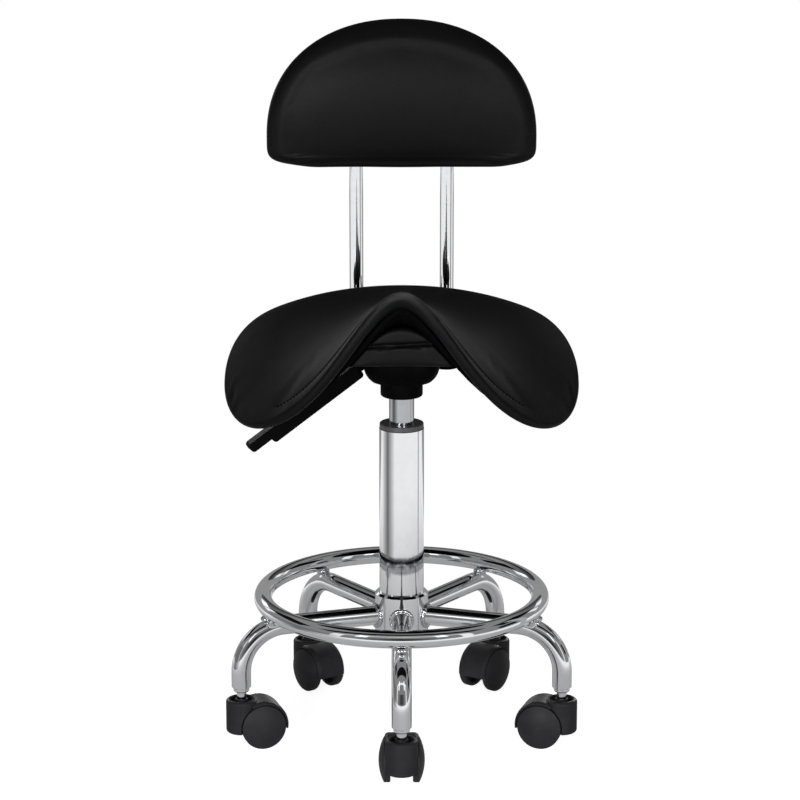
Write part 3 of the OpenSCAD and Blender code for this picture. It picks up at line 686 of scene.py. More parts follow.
@dataclass(frozen=True)
class StitchRow:
    """Row of thread stitches sewn into a cover.

    Attributes:
        pitch_mm: Distance from stitch to stitch.
        length_mm: Length of thread that shows in a stitch.
        thread_mm: Thickness of the thread.
        sides: Sides of the thread's section.
    """

    pitch_mm: float = 5.0
    length_mm: float = 2.2
    thread_mm: float = 1.5
    sides: int = 6

    def sew(self, line: np.ndarray, normals: np.ndarray, kept: np.ndarray) -> Shell:
        """Lays the stitches along the kept stretch of a closed line.

        Args:
            line: Points of the seam, in order.
            normals: Outward direction of the cover at each point.
            kept: Whether each point is on the stretch that is sewn.

        Returns:
            Points and faces of all the stitches.
        """
        ahead = np.roll(line, -1, 0) - line
        run = np.concatenate([[0], np.cumsum(np.linalg.norm(ahead, axis=1))])
        closed_line, closed_normals = np.vstack([line, line[:1]]), np.vstack([normals, normals[:1]])
        count = round(run[-1] / (self.pitch_mm * MM))
        profile = np.array([-0.5, -0.3, 0.0, 0.3, 0.5]) * self.length_mm * MM
        rise = np.array([-0.7, 0.25, 0.45, 0.25, -0.7]) * self.thread_mm * MM / 2
        thick = np.array([0.55, 1.0, 1.05, 1.0, 0.55]) * self.thread_mm * MM / 2
        shells = []
        for k in range(count):
            at = np.mod(run[-1] * k / count + profile, run[-1])
            if not kept[np.searchsorted(run, at[2]) % len(kept)]:
                continue
            middle = np.stack([np.interp(at, run, closed_line[:, c]) for c in range(3)], 1)
            out = np.stack([np.interp(at, run, closed_normals[:, c]) for c in range(3)], 1)
            shells.append(tube_along(middle + out * rise[:, None], thick, self.sides, False))
        return join_shells(shells)


class SubAssembly(ABC):
    """Group of pieces that come off the stool together."""

    def build(self) -> None:
        """Makes the meshes that the CAD nodes lack; some groups need none."""

    @abstractmethod
    def finishes(self) -> dict[str, Finish]:
        """Finish of each CAD node of the group."""

    def dress(self) -> None:
        """Gives each CAD node of the group its finish, and reports it."""
        for node, finish in self.finishes().items():
            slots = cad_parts[node].data.materials
            slots.clear()
            slots.append(finish.material())
            LOG.info("%s: %s", node, finish.name)


@dataclass
class Base(SubAssembly):
    """Hub, five bent legs, foot ring and their welds.

    Attributes:
        bead_mm: Radius of a weld bead.
        bead_points: Points along a bead.
        bead_sides: Sides of a bead's section.
        ripple: Share of the bead's radius that its ripples add.
        ripple_mm: Length of a ripple.
        hub_fit: Radius of the bead's line round a leg at the hub, in radii of the leg.
        hub_lift: How far that line lies off the hub, in radii of the bead.
        ring_fit: Half length and half width of the bead under the ring, in radii of the ring and the leg.
        bend_mm: Radius of the bend at each leg's end.
    """

    bead_mm: float = 2.4
    bead_points: int = 72
    bead_sides: int = 10
    ripple: float = 0.16
    ripple_mm: float = 3.2
    hub_fit: float = 1.06
    hub_lift: float = 0.3
    ring_fit: tuple[float, float] = (0.62, 0.42)
    bend_mm: float = 50.0

    def build(self) -> None:
        """Lays rippled weld beads round each leg at the hub and at the ring."""
        low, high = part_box("leg_1")
        hub_low, hub_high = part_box("hub_sleeve")
        leg_r = (high.x - low.x) / 2
        leg_z = high.z - leg_r
        hub_r = (hub_high.x - hub_low.x) / 2
        ring_low, ring_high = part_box("foot_ring")
        tube_r = (ring_high.z - ring_low.z) / 2
        ring_r = ring_high.x - tube_r
        bend = self.bend_mm * MM
        straight = -low.y - leg_r - bend
        turn = np.linspace(0, math.tau, self.bead_points, endpoint=False)
        bead = self.bead_mm * MM
        shells = []
        for k in range(len(LEGS)):
            heading = -math.pi / 2 + math.tau * k / len(LEGS)
            across = leg_r * self.hub_fit * np.cos(turn)
            hub_line = np.stack([np.sqrt((hub_r + self.hub_lift * bead) ** 2 - across ** 2), across,
                                 leg_z + leg_r * self.hub_fit * np.sin(turn)], 1)
            shells.append(self._bead(hub_line, heading, bead))
            outward = self.ring_fit[0] * tube_r * np.cos(turn)
            across = self.ring_fit[1] * leg_r * np.sin(turn)
            beyond = np.maximum(ring_r + outward - straight, 0)
            leg_top = leg_z - bend + np.sqrt((bend + np.sqrt(leg_r ** 2 - across ** 2)) ** 2 - beyond ** 2)
            ring_foot = ring_high.z - tube_r - np.sqrt(tube_r ** 2 - outward ** 2)
            ring_line = np.stack([ring_r + outward, across, (leg_top + ring_foot) / 2], 1)
            shells.append(self._bead(ring_line, heading, bead))
        points, faces = join_shells(shells)
        welds = add_piece("weld_beads", points, faces, WELD_CHROME, "base")
        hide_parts("base_welds")

    def _bead(self, line: np.ndarray, heading: float, radius: float) -> Shell:
        """Sweeps a rippled bead along a closed line and turns it to its leg.

        Args:
            line: Centre line of the bead, in the leg's own frame.
            heading: Direction of the leg.
            radius: Mean radius of the bead.

        Returns:
            Points and faces of the bead.
        """
        steps = np.linalg.norm(np.roll(line, -1, 0) - line, axis=1)
        run = np.cumsum(steps) - steps
        ripples = round(steps.sum() / (self.ripple_mm * MM))
        radii = radius * (1 + self.ripple * np.cos(math.tau * ripples * run / steps.sum()))
        points, faces = tube_along(line, radii, self.bead_sides, True)
        cos, sin = math.cos(heading), math.sin(heading)
        turned = np.stack([cos * points[:, 0] - sin * points[:, 1], sin * points[:, 0] + cos * points[:, 1],
                           points[:, 2]], 1)
        return turned, faces

    def finishes(self) -> dict[str, Finish]:
        """Chrome on the tubes, and plastic in their ends."""
        tubes = [f"leg_{k}" for k in LEGS] + ["hub_sleeve", "foot_ring", "castor_stems"]
        return dict.fromkeys(tubes, CHROME) | {"base_welds": WELD_CHROME, "stem_sockets": POLYPROPYLENE}


class Castors(SubAssembly):
    """Five twin-wheel castors; the CAD nodes hold every piece of them."""

    def finishes(self) -> dict[str, Finish]:
        """Nylon bodies and wheels on zinc-plated axles."""
        parts = {"castor_body": CASTOR_NYLON, "castor_axle": ZINC, "wheel_left": WHEEL_NYLON,
                 "wheel_right": WHEEL_NYLON}
        return {f"{part}_{k}": finish for k in LEGS for part, finish in parts.items()}


class GasLift(SubAssembly):
    """Column, bush, pressure tube and what turns inside them, all of them CAD nodes."""

    def finishes(self) -> dict[str, Finish]:
        """Chrome outside, ground and zinc-plated steel inside, plastic where they rub."""
        plated = ("bearing_race_lower", "bearing_race_upper", "retaining_clip", "valve_button")
        return {"column_tube": CHROME, "bump_stop": RUBBER, **dict.fromkeys(plated, ZINC),
                **dict.fromkeys(("pressure_tube", "piston_rod", "bearing_balls"), GROUND_STEEL),
                **dict.fromkeys(("guide_sleeve", "rod_guide"), ACETAL)}


class Mechanism(SubAssembly):
    """Socket, pan, plate, lever and back clamps under the saddle, all of them CAD nodes."""

    def finishes(self) -> dict[str, Finish]:
        """Powder coat on the pressed parts, plastic where the hand holds."""
        pressed = ("taper_socket", "lift_pan", "lift_plate", "lever_rod", "back_bracket")
        held = ("lever_grip", "clamp_knob_left", "clamp_knob_right")
        return {"mount_block": POLYPROPYLENE, **dict.fromkeys(("plate_bolts", "lever_pin"), ZINC),
                **dict.fromkeys(pressed, POWDER_COAT), **dict.fromkeys(held, GRIP_PLASTIC)}


@dataclass
class Saddle(SubAssembly):
    """Saddle pad with its sewn edge, on its moulded shell.

    Attributes:
        half_mm: Half of the saddle's width.
        proud_mm: How far the stuffed cover stands out beyond that on each side.
        front_mm: Reach of the pommel in front of the column.
        rear_mm: Reach of the saddle behind the column.
        crest_mm: Heights that guide the crest from pommel to rear edge.
        fall_mm: Falls to the sides that guide the wings.
        arch_mm: Width of the arch at the pommel, and what it gains to the rear edge.
        wing_mm: Half of the width over which the wings fall at the pommel.
        squareness: Power of the outline; 2 is an ellipse.
        edge_mm: Thickness of the pad at its edge.
        middle_mm: Thickness of the pad in the middle.
        roll_share: Share of the outline at which the cover starts to fall off to its edge.
        roll_mm: Depth to which it falls off at the sides and the rear.
        brow_mm: Depth to which it falls off along the front edge, which stays thick and round.
        brow_turn: Sines of the forward direction between which the side edge turns into the front edge.
        brow_from: Share of the outline at which the rings draw together towards the front edge.
        brow_span: Share over which they do.
        lip_share: Share of the ring between seam and rim.
        rim_rows: Rows round the rim.
        under_share: Share of the outline that the underside's rings fill.
        rings: Rings of the flat part of the face, and of the part from there to the seam.
        seam_share: Share of the outline at which the cover is sewn.
        seam_mm: Depth of the sewn groove along the front edge.
        seam_width: Share of the outline that half of the groove takes up.
        seam_turn: Sines of the forward direction between which the groove deepens.
        seam_end_mm: How far in front of the column the sewn stretch ends on each side.
        foam: Foam under the cover.
    """

    half_mm: float = 194.0
    proud_mm: float = 6.5
    front_mm: float = 150.0
    rear_mm: float = 168.0
    crest_mm: tuple[float, ...] = (81.0, 31.0, 40.0, 21.0)
    fall_mm: tuple[float, ...] = (195.0, 116.0, 24.0, 23.0)
    arch_mm: tuple[float, float] = (114.0, 250.0)
    wing_mm: float = 150.0
    squareness: float = 2.08
    edge_mm: float = 13.0
    middle_mm: float = 21.0
    roll_share: float = 0.7
    roll_mm: float = 7.0
    brow_mm: float = 1.0
    brow_turn: tuple[float, float] = (0.35, 0.75)
    brow_from: float = 0.9
    brow_span: float = 0.085
    lip_share: float = 0.972
    rim_rows: int = 12
    under_share: float = 0.95
    rings: tuple[int, int] = (24, 12)
    seam_share: float = 0.948
    seam_mm: float = 0.8
    seam_width: float = 0.006
    seam_turn: tuple[float, float] = (0.656716, 0.80597)
    seam_end_mm: float = 98.0
    foam: Foam = Foam(pressure=3.0, cap_mm=2.5)

    @staticmethod
    def _curve(guide: Sequence[float], share: np.ndarray) -> np.ndarray:
        """Cubic curve led by four guiding values, at shares of its length."""
        rest = 1 - share
        return (rest ** 3 * guide[0] + 3 * rest ** 2 * share * guide[1] + 3 * rest * share ** 2 * guide[2]
                + share ** 3 * guide[3])

    def height(self, x: np.ndarray, y: np.ndarray) -> np.ndarray:
        """Height of the saddle's top over its plate.

        Args:
            x: Places to the side, in mm.
            y: Places to the rear, in mm.

        Returns:
            Heights in mm.
        """
        share = (y + self.front_mm) / (self.front_mm + self.rear_mm)
        width = self.arch_mm[0] + self.arch_mm[1] * share
        edge = self.half_mm - (self.half_mm - self.wing_mm) * (1 - share) ** 3
        arch = x ** 2 / (x ** 2 + width ** 2) * (1 + width ** 2 / edge ** 2)
        return self._curve(self.crest_mm, share) - self._curve(self.fall_mm, share) * arch

    def normal(self, x: np.ndarray, y: np.ndarray) -> np.ndarray:
        """Direction that the saddle's top faces.

        Args:
            x: Places to the side, in mm.
            y: Places to the rear, in mm.

        Returns:
            A unit vector for each place.
        """
        across = self.height(x - STEP_MM, y) - self.height(x + STEP_MM, y)
        along = self.height(x, y - STEP_MM) - self.height(x, y + STEP_MM)
        slope = np.stack([across, along, np.full_like(x, 2 * STEP_MM)], 1)
        return slope / np.linalg.norm(slope, axis=1)[:, None]

    def surface(self, share: np.ndarray, angle: np.ndarray, depth: np.ndarray) -> np.ndarray:
        """Points of the pad.

        Args:
            share: Share of the outline at each point.
            angle: Direction of each point from the middle.
            depth: Depth under the top surface, in mm.

        Returns:
            Points in metres.
        """
        cos, sin = np.cos(angle), np.sin(angle)
        reach = np.where(sin < 0, self.front_mm, self.rear_mm)
        groove = (depth < self.roll_mm) * np.exp(-((share - self.seam_share) / self.seam_width) ** 2)
        groove *= np.interp(-sin, self.seam_turn, (0, 1))
        front = np.interp(-sin, self.brow_turn, (0, 1))
        brow = self.roll_mm + front * (self.brow_mm - self.roll_mm)
        covered = depth < self.edge_mm + TOUCH_MM
        drawn = 1 + front * np.clip((share - self.brow_from) / self.brow_span, 0, 1)
        share = np.where(covered, 1 - (1 - share) * drawn, share)
        rounding = (self.edge_mm - brow) / (self.edge_mm - self.roll_mm)
        edged = np.where(depth < self.roll_mm, depth * brow / self.roll_mm,
                         self.edge_mm + (depth - self.edge_mm) * rounding)
        depth = np.where(covered, edged, depth) + self.seam_mm * groove
        x = share * self.half_mm * squared(cos, 2 / self.squareness)
        y = share * reach * squared(sin, 2 / self.squareness)
        top = np.stack([x * (1 + self.proud_mm / self.half_mm), y, self.height(x, y)], 1)
        return over_plate(top - depth[:, None] * self.normal(x, y))

    def build(self) -> None:
        """Sews and puffs the cover, then lays its stitches."""
        round_mm = (self.edge_mm - self.roll_mm) / 2
        inset = round_mm / self.half_mm
        flat = np.linspace(0, self.roll_share, self.rings[0])
        seam = self.seam_share + self.seam_width * np.arange(-2, 3)
        falling = np.linspace(self.roll_share, seam[0], self.rings[1])[1:-1]
        rolled = np.concatenate([falling, seam, [self.lip_share, 1 - inset]])
        fallen = self.roll_mm * ((rolled - self.roll_share) / (1 - inset - self.roll_share)) ** 2
        face = [(q, 0.0) for q in flat] + list(zip(rolled, fallen))
        turn = np.linspace(0, math.pi, self.rim_rows + 1)[1:]
        rim = list(zip(1 - inset * (1 - np.sin(turn)), self.roll_mm + round_mm * (1 - np.cos(turn))))
        under = np.linspace(0, self.under_share, len(face) - 1)
        back = [(q, self.edge_mm + (self.middle_mm - self.edge_mm) * (1 - q ** 4)) for q in under]
        cover = PaddedCover(self.surface, face, rim, back)
        loop = cover.loops[len(flat) + len(falling) + len(seam) // 2]
        kept = cover.points[loop, 1] < -self.seam_end_mm * MM
        cover.hold[loop[kept]] = Hold.SEWN.value
        pad = cover.upholster("saddle_cushion", "seat", fill=0.8, node="seat_pad", foam=self.foam)
        line = np.array([pad.data.vertices[k].co for k in loop])
        normals = np.array([pad.data.vertices[k].normal for k in loop])
        points, faces = StitchRow().sew(line, normals, kept)
        add_piece("saddle_stitches", points, faces, THREAD, "seat")

    def finishes(self) -> dict[str, Finish]:
        """A formed shell under the vinyl pad."""
        return {"seat_shell": FORMED_SHEET, "seat_pad": VINYL}


@dataclass
class ArchRoll(SubAssembly):
    """Padded roll, wrapped in vinyl, that closes the saddle's arch between the shell and the pan.

    Attributes:
        saddle: Saddle that it hangs under.
        half_mm: Half of its width.
        low_mm: Height of its lower edge over the plate.
        front_mm: Place of its front in the stool's depth.
        back_mm: Place of its back.
        under_mm: Depth of the shell's underside under the saddle's top.
        squareness: Power that squares its outline; 1 is round.
        form: Its face, side and back.
        fold_mm: Depth of the fold across it.
        fold_rise_mm: Height of the fold over the plate.
        fold_tilt: Rise of the fold towards +X.
        fold_width_mm: Width of the fold.
    """

    saddle: Saddle
    half_mm: float = 57.0
    low_mm: float = -14.0
    front_mm: float = -106.0
    back_mm: float = -80.0
    under_mm: float = 28.2
    squareness: float = 0.3
    form: CrownedForm = CrownedForm(rings=30, crown_mm=8.0, crown_power=7.0, side_rows=3, side_end_mm=2.0,
                                    side_pull=0.0, hem=((0.985, 0.6), (0.96, 0.0)), back_share=0.93)
    fold_mm: float = 5.0
    fold_rise_mm: float = 10.5
    fold_tilt: float = 0.05
    fold_width_mm: float = 2.2

    def _ceiling(self, x: np.ndarray, y: np.ndarray) -> np.ndarray:
        """Height of the shell's underside over the plate, in mm."""
        return self.saddle.height(x, y) - self.under_mm / self.saddle.normal(x, y)[:, 2]

    def surface(self, share: np.ndarray, angle: np.ndarray, depth: np.ndarray) -> np.ndarray:
        """Points of the roll.

        Args:
            share: Share of the outline at each point.
            angle: Direction of each point from the middle.
            depth: Depth behind the front, in mm.

        Returns:
            Points in metres.
        """
        cos, sin = np.cos(angle), np.sin(angle)
        x = share * self.half_mm * squared(cos, self.squareness)
        rise = (1 + share * squared(sin, self.squareness)) / 2
        y = self.front_mm + depth
        z = self.low_mm + rise * (self._ceiling(x, y) - self.low_mm)
        fold = np.exp(-((z - self.fold_rise_mm - self.fold_tilt * x) / self.fold_width_mm) ** 2)
        y = y + np.where(depth < self.form.crown_mm, self.fold_mm * (1 - share ** 4) * fold, 0)
        z = self.low_mm + rise * (self._ceiling(x, y) - self.low_mm)
        return over_plate(np.stack([x, y, z], 1))

    def build(self) -> None:
        """Makes the roll, which is shaped without simulation."""
        cover = self.form.cover(self.surface, self.back_mm - self.front_mm)
        cover.upholster("arch_roll", "seat", fill=0.7)

    def finishes(self) -> dict[str, Finish]:
        """The roll has no CAD node."""
        return {}


@dataclass
class Backrest(SubAssembly):
    """Half-round back cushion on its board and two rods.

    Attributes:
        rise: Share of the back's height above its widest line.
        tuck_mm: How far the lower edge is pulled up.
        rounding: Powers that round the outline above and below its widest line.
        proud: Width of the stuffed cover, in widths of its CAD solid.
        form: Its face, side and back.
        dome_mm: Part of the crown's depth that the face takes up evenly, over half its height and width.
        dome_rise: Share of the back's height at which the face stands furthest forward.
        gathers_mm: Sideways places at which the lower edge is gathered.
        gather_mm: Width of a gather.
        gather_drop_mm: Drop of the lower edge at a gather.
        foam: Foam under the cover.
    """

    rise: float = 0.78
    tuck_mm: float = 2.0
    rounding: tuple[float, float] = (0.92, 0.36)
    proud: float = 1.008
    form: CrownedForm = CrownedForm(rings=34, crown_mm=26.0, crown_power=5.0, side_rows=4, side_end_mm=4.0,
                                    side_pull=0.01, hem=((0.985, 1.2), (0.965, 0.0)), back_share=0.94)
    dome_mm: tuple[float, float] = (12.0, 4.0)
    dome_rise: float = 0.53
    gathers_mm: tuple[float, ...] = (-104.0, 8.0, 112.0)
    gather_mm: float = 17.0
    gather_drop_mm: float = 1.6
    foam: Foam = Foam(pressure=3.0, cap_mm=3.0)

    def surface(self, share: np.ndarray, angle: np.ndarray, depth: np.ndarray) -> np.ndarray:
        """Points of the back pad.

        Args:
            share: Share of the outline at each point.
            angle: Direction of each point from the middle.
            depth: Depth behind the domed face, in mm, as a share of the crown up to the crown's depth.

        Returns:
            Points in metres.
        """
        low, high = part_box("back_pad")
        half, tall = (high.x - low.x) / 2, high.z - low.z
        middle = low.z + (1 - self.rise) * tall
        cos, sin = np.cos(angle), np.sin(angle)
        upper = sin >= 0
        power = np.where(upper, *self.rounding)
        x = share * half * self.proud * squared(cos, power)
        lift = np.where(upper, self.rise * tall, self.tuck_mm * MM - (1 - self.rise) * tall)
        z = middle + share * lift * np.abs(sin) ** power
        edge = np.clip((middle - z) / ((1 - self.rise) * tall), 0, 1) ** 3
        for place in self.gathers_mm:
            z -= edge * self.gather_drop_mm * MM * np.exp(-((x / MM - place) / self.gather_mm) ** 2)
        up = (z - low.z - self.dome_rise * tall) / (tall / 2)
        dome = self.dome_mm[0] * up ** 2 + self.dome_mm[1] * (x / half) ** 2
        crown = self.form.crown_mm
        behind = np.where(depth < crown, dome + (1 - dome / crown) * depth, depth)
        return np.stack([x, low.y + behind * MM, z], 1)

    def build(self) -> None:
        """Puffs the cover of the back cushion."""
        low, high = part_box("back_pad")
        cover = self.form.cover(self.surface, (high.y - low.y) / MM)
        cover.upholster("back_cushion", "back", fill=0.8, node="back_pad", foam=self.foam)

    def finishes(self) -> dict[str, Finish]:
        """Chrome rods, zinc-plated fittings and a vinyl-covered board."""
        return {"back_rods": CHROME, "rod_caps": POLYPROPYLENE, "rod_holders": ZINC, "back_screws": ZINC,
                "back_board": BOARD_VINYL, "back_pad": VINYL}

    def dress(self) -> None:
        """Finishes the nodes, and keeps the rods out of the saddle's sheen."""
        super().dress()
        # Mirrored there, they would draw two pale streaks beside the crest.
        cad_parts["back_rods"].visible_glossy = False


@dataclass(frozen=True)
class Softbox:
    """Square studio lamp.

    Attributes:
        name: Name of the lamp.
        place: Its middle, in metres.
        size: Length of its side.
        power: Its power in watts.
        spread: Angle of its beam, in degrees.
        aim: Point that it faces, in metres.
        lit: What it lights.
    """

    name: str
    place: Place
    size: float
    power: float
    spread: float = 180.0
    aim: Place = (0.0, 0.0, 0.4)
    lit: Lit = Lit.MATT


@dataclass(frozen=True)
class Flag:
    """Studio card that only shows in mirrors.

    Attributes:
        name: Name of the card.
        bearing: Direction from the stool, in degrees from the camera's side towards +X.
        away: Distance of its middle from the stool.
        height: Height of its middle.
        width: Width of the card.
        tall: Length of its upright side.
        tone: Its colour.
        lean: Angle that it leans towards the stool, in degrees; 90 lies flat overhead.
        feather: Whether it fades out from its upright middle line to its sides.
        level: Brightness of its colour.
    """

    name: str
    bearing: float
    away: float
    height: float
    width: float
    tall: float
    tone: str
    lean: float = 0.0
    feather: bool = False
    level: float = 1.0


@dataclass
class Studio:
    """Camera, pale floor, lamps and the cards that mirrors see.

    Attributes:
        camera_place: Place of the camera, in metres.
        pitch: Angle that it looks down, in degrees.
        lens_mm: Its focal length.
        sensor_mm: Width of its sensor.
        soft_level: Light that comes from all round.
        floor_tone: Colour of the floor.
        floor_glow: Light that the floor adds for the camera.
        mirror_glow: Light that the floor near the stool adds in mirrors.
        floor_size: Length of the floor's side.
        floor_near: Distance up to which the floor keeps the shadow.
        floor_far: Distance from which it is plain white.
        lamps: Lamps in front, behind, and over the saddle's brow.
        flags: Cards that the chrome mirrors and that give the vinyl its sheen.
    """

    camera_place: Place = (-0.0018, -3.260, 1.209)
    pitch: float = 14.19
    lens_mm: float = 136.4
    sensor_mm: float = 36.0
    soft_level: float = 0.12
    floor_tone: str = "#e6e6e6"
    floor_glow: float = 0.86
    mirror_glow: float = 0.14
    floor_size: float = 60.0
    floor_near: float = 0.3
    floor_far: float = 1.1
    # Name, place, size and power of each.
    lamps: tuple[Softbox, ...] = (
        Softbox("key", (-1.15, -2.85, 0.8), 0.7, 60.0),
        Softbox("fill", (1.15, -2.85, 0.8), 0.7, 38.0),
        Softbox("rear_key", (1.15, 2.85, 1.0), 0.7, 60.0, lit=Lit.REAR),
        Softbox("rear_fill", (-1.15, 2.85, 1.0), 0.7, 38.0, lit=Lit.REAR),
        Softbox("brow", (-0.1, -0.85, 2.0), 0.06, 0.1, spread=3.0, aim=(0.0, -0.145, 0.54)))
    # Name, bearing, distance, height, width, upright length and colour of each.
    flags: tuple[Flag, ...] = (
        Flag("flag_left", -75.0, 0.6, 0.15, 1.0, 0.3, "#707070", feather=True),
        Flag("flag_right", 94.0, 0.6, 0.3, 0.08, 0.6, "#b0b0b0"),
        Flag("flag_rods", 83.0, 0.96, 0.37, 0.3, 0.25, "#181818"),
        Flag("card_rear_low", 180.0, 0.8, 0.22, 3.0, 0.5, "#989898"),
        Flag("flag_rear", 180.0, 2.7, 1.2, 3.6, 1.76, "#101010", feather=True),
        Flag("card_rear", 180.0, 2.8, 2.0, 6.0, 3.0, "#6c6c6c"),
        Flag("flag_side_left", -112.0, 2.4, 2.0, 2.2, 1.1, "#101010"),
        Flag("flag_side_right", 112.0, 2.4, 2.0, 2.2, 1.1, "#101010"),
        Flag("strip_left", -143.0, 2.6, 0.95, 1.2, 0.9, WHITE, feather=True, level=2.0),
        Flag("strip_right", 145.0, 2.6, 0.95, 1.2, 0.9, WHITE, feather=True, level=1.2),
        Flag("strip_front_left", -32.0, 2.5, 1.9, 0.4, 1.2, WHITE, level=1.5),
        Flag("strip_front_right", 32.0, 2.5, 1.9, 0.4, 1.2, WHITE, level=1.5),
        Flag("room_left", -90.0, 3.6, 1.7, 5.0, 3.4, "#8c8c8c"),
        Flag("room_right", 90.0, 3.6, 1.7, 5.0, 3.4, "#8c8c8c"),
        Flag("room_camera", 0.0, 3.8, 1.7, 8.0, 3.4, "#848484"),
        Flag("flag_camera", 0.0, 3.7, 0.85, 5.0, 1.4, "#101010", feather=True),
        Flag("ceiling", 0.0, 0.0, 2.6, 7.0, 5.0, "#8c8c8c", 90.0),
        Flag("flag_top", 0.0, 0.9, 2.3, 5.0, 0.8, "#101010", 90.0))

    def build(self) -> None:
        """Sets up the whole studio."""
        bpy.context.scene.view_settings.view_transform = "Standard"
        self._camera()
        self._world()
        self._floor()
        for lamp in self.lamps:
            self._lamp(lamp)
        for flag in self.flags:
            self._card(flag)

    def _camera(self) -> None:
        """Adds the camera at the photograph's angle."""
        data = bpy.data.cameras.new("camera")
        data.sensor_width = self.sensor_mm
        data.lens = self.lens_mm
        camera = bpy.data.objects.new("camera", data)
        camera.location = self.camera_place
        camera.rotation_euler = (math.radians(90 - self.pitch), 0, 0)
        bpy.context.scene.collection.objects.link(camera)
        bpy.context.scene.camera = camera

    @staticmethod
    def _seen(tree: NodeTree) -> NodeSocket:
        """Adds the test for rays that the eye follows: straight, mirrored or through glass.

        Args:
            tree: Node tree that gets the test.

        Returns:
            Socket that is 1 for such rays and 0 for others.
        """
        path = add_node(tree, "ShaderNodeLightPath").outputs
        plain = add_node(tree, "ShaderNodeMath", {0: path["Is Camera Ray"], 1: path["Is Glossy Ray"]},
                         operation="MAXIMUM")
        whole = add_node(tree, "ShaderNodeMath", {0: plain.outputs[0], 1: path["Is Transmission Ray"]},
                         operation="MAXIMUM")
        return whole.outputs[0]

    def _world(self) -> None:
        """Makes the white surroundings."""
        world = bpy.data.worlds.new("studio")
        world.use_nodes = True
        tree = world.node_tree
        tree.nodes.clear()
        level = add_node(tree, "ShaderNodeMapRange", {"Value": self._seen(tree), "To Min": self.soft_level})
        light = add_node(tree, "ShaderNodeBackground",
                         {"Color": linear(WHITE), "Strength": level.outputs["Result"]})
        add_node(tree, "ShaderNodeOutputWorld", {"Surface": light.outputs["Background"]})
        bpy.context.scene.world = world

    def _floor(self) -> None:
        """Lays the pale floor, which keeps the stool's shadow."""
        half = self.floor_size / 2
        corners = [(-half, -half, 0), (half, -half, 0), (half, half, 0), (-half, half, 0)]
        material = bare_material("floor_pale_matt")
        tree = material.node_tree
        seen = self._seen(tree)
        direct = add_node(tree, "ShaderNodeLightPath").outputs["Is Camera Ray"]
        place = add_node(tree, "ShaderNodeTexCoord").outputs["Object"]
        away = add_node(tree, "ShaderNodeVectorMath", {0: place}, operation="LENGTH")
        far = add_node(tree, "ShaderNodeMapRange",
                       {"Value": away.outputs["Value"], "From Min": self.floor_near,
                        "From Max": self.floor_far}, interpolation_type="SMOOTHSTEP")
        white = add_node(tree, "ShaderNodeMath", {0: far.outputs["Result"], 1: seen}, operation="MULTIPLY")
        level = add_node(tree, "ShaderNodeMapRange",
                         {"Value": direct, "To Min": self.mirror_glow, "To Max": self.floor_glow})
        glow = add_node(tree, "ShaderNodeMath", {0: seen, 1: level.outputs["Result"]}, operation="MULTIPLY")
        lit = add_node(tree, "ShaderNodeBsdfDiffuse", {"Color": linear(self.floor_tone)})
        own = add_node(tree, "ShaderNodeEmission", {"Color": linear(WHITE), "Strength": glow.outputs[0]})
        near = add_node(tree, "ShaderNodeAddShader", {0: lit.outputs[0], 1: own.outputs[0]})
        sweep = add_node(tree, "ShaderNodeEmission", {"Color": linear(WHITE)})
        both = add_node(tree, "ShaderNodeMixShader",
                        {0: white.outputs[0], 1: near.outputs[0], 2: sweep.outputs[0]})
        add_node(tree, "ShaderNodeOutputMaterial", {"Surface": both.outputs[0]})
        self._panel("floor", corners, material)

    @staticmethod
    def _panel(name: str, corners: Sequence[Sequence[float]], material: Material) -> Object:
        """Adds a flat panel.

        Args:
            name: Name of the panel.
            corners: Its four corners, in order.
            material: Its material.

        Returns:
            The panel.
        """
        mesh = bpy.data.meshes.new(name)
        mesh.from_pydata(corners, [], [(0, 1, 2, 3)])
        mesh.uv_layers.new()
        mesh.materials.append(material)
        panel = bpy.data.objects.new(name, mesh)
        bpy.context.scene.collection.objects.link(panel)
        return panel

    def _lamp(self, lamp: Softbox) -> None:
        """Hangs a softbox that faces its aim.

        Args:
            lamp: The softbox.
        """
        data = bpy.data.lights.new(lamp.name, "AREA")
        data.size = lamp.size
        data.energy = lamp.power
        data.spread = math.radians(lamp.spread)
        box = bpy.data.objects.new(lamp.name, data)
        box.location = lamp.place
        aim = Vector(lamp.aim) - box.location
        box.rotation_euler = aim.to_track_quat("-Z", "Y").to_euler()
        bpy.context.scene.collection.objects.link(box)
        box.light_linking.receiver_collection = self._lit_group(lamp.lit)

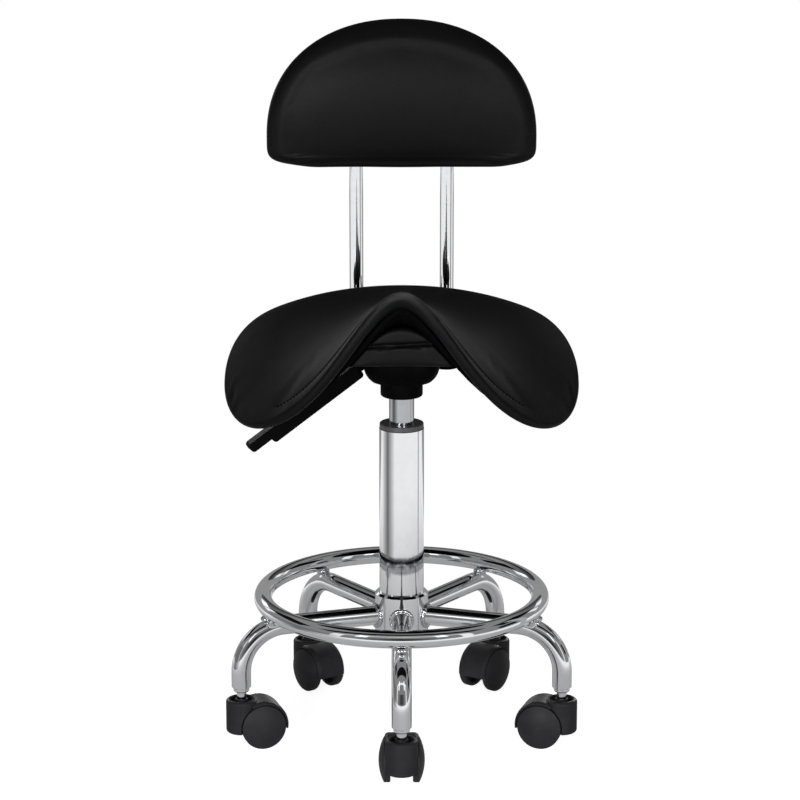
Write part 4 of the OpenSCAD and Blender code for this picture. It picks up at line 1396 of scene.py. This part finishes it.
    @staticmethod
    def _lit_group(lit: Lit) -> Collection:
        """Group of nodes that a lamp leaves out or keeps to, made when it is first asked for.

        Args:
            lit: What the lamp lights.

        Returns:
            The group.
        """
        group = bpy.data.collections.get(lit.value)
        if group is None:
            group = bpy.data.collections.new(lit.value)
            for name in CHROME_NODES if lit is Lit.MATT else REAR_NODES:
                group.objects.link(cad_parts[name])
            for entry in group.collection_objects:
                entry.light_linking.link_state = "EXCLUDE" if lit is Lit.MATT else "INCLUDE"
        return group

    def _card(self, flag: Flag) -> None:
        """Stands or hangs a card that only mirrors see.

        Args:
            flag: The card.
        """
        bearing, lean = math.radians(flag.bearing), math.radians(flag.lean)
        out = Vector((math.sin(bearing), -math.cos(bearing), 0))
        side = Vector((math.cos(bearing), math.sin(bearing), 0)) * flag.width / 2
        rise = (Vector((0, 0, math.cos(lean))) - out * math.sin(lean)) * flag.tall / 2
        middle = out * flag.away + Vector((0, 0, flag.height))
        corners = [middle + a * side + b * rise for a, b in ((-1, -1), (1, -1), (1, 1), (-1, 1))]
        material = bare_material(flag.name)
        tree = material.node_tree
        shown = add_node(tree, "ShaderNodeEmission", {"Color": linear(flag.tone), "Strength": flag.level})
        if flag.feather:
            across = add_node(tree, "ShaderNodeSeparateXYZ",
                              {"Vector": add_node(tree, "ShaderNodeTexCoord").outputs["UV"]}).outputs["X"]
            inward = add_node(tree, "ShaderNodeMath", {0: across, 1: 0.5}, operation="PINGPONG")
            fade = add_node(tree, "ShaderNodeMapRange", {"Value": inward.outputs[0], "From Max": 0.5})
            clear = add_node(tree, "ShaderNodeBsdfTransparent")
            shown = add_node(tree, "ShaderNodeMixShader",
                             {0: fade.outputs["Result"], 1: clear.outputs[0], 2: shown.outputs[0]})
        add_node(tree, "ShaderNodeOutputMaterial", {"Surface": shown.outputs[0]})
        card = self._panel(flag.name, [tuple(c) for c in corners], material)
        card.visible_camera = card.visible_diffuse = card.visible_shadow = False


def main() -> None:
    """Builds the studio, then builds and dresses each sub-assembly."""
    logging.basicConfig(level=logging.INFO, format="%(message)s")
    Studio().build()
    saddle = Saddle()
    for assembly in (Base(), Castors(), GasLift(), Mechanism(), saddle, ArchRoll(saddle), Backrest()):
        assembly.build()
        assembly.dress()


if __name__ == "__main__":
    main()
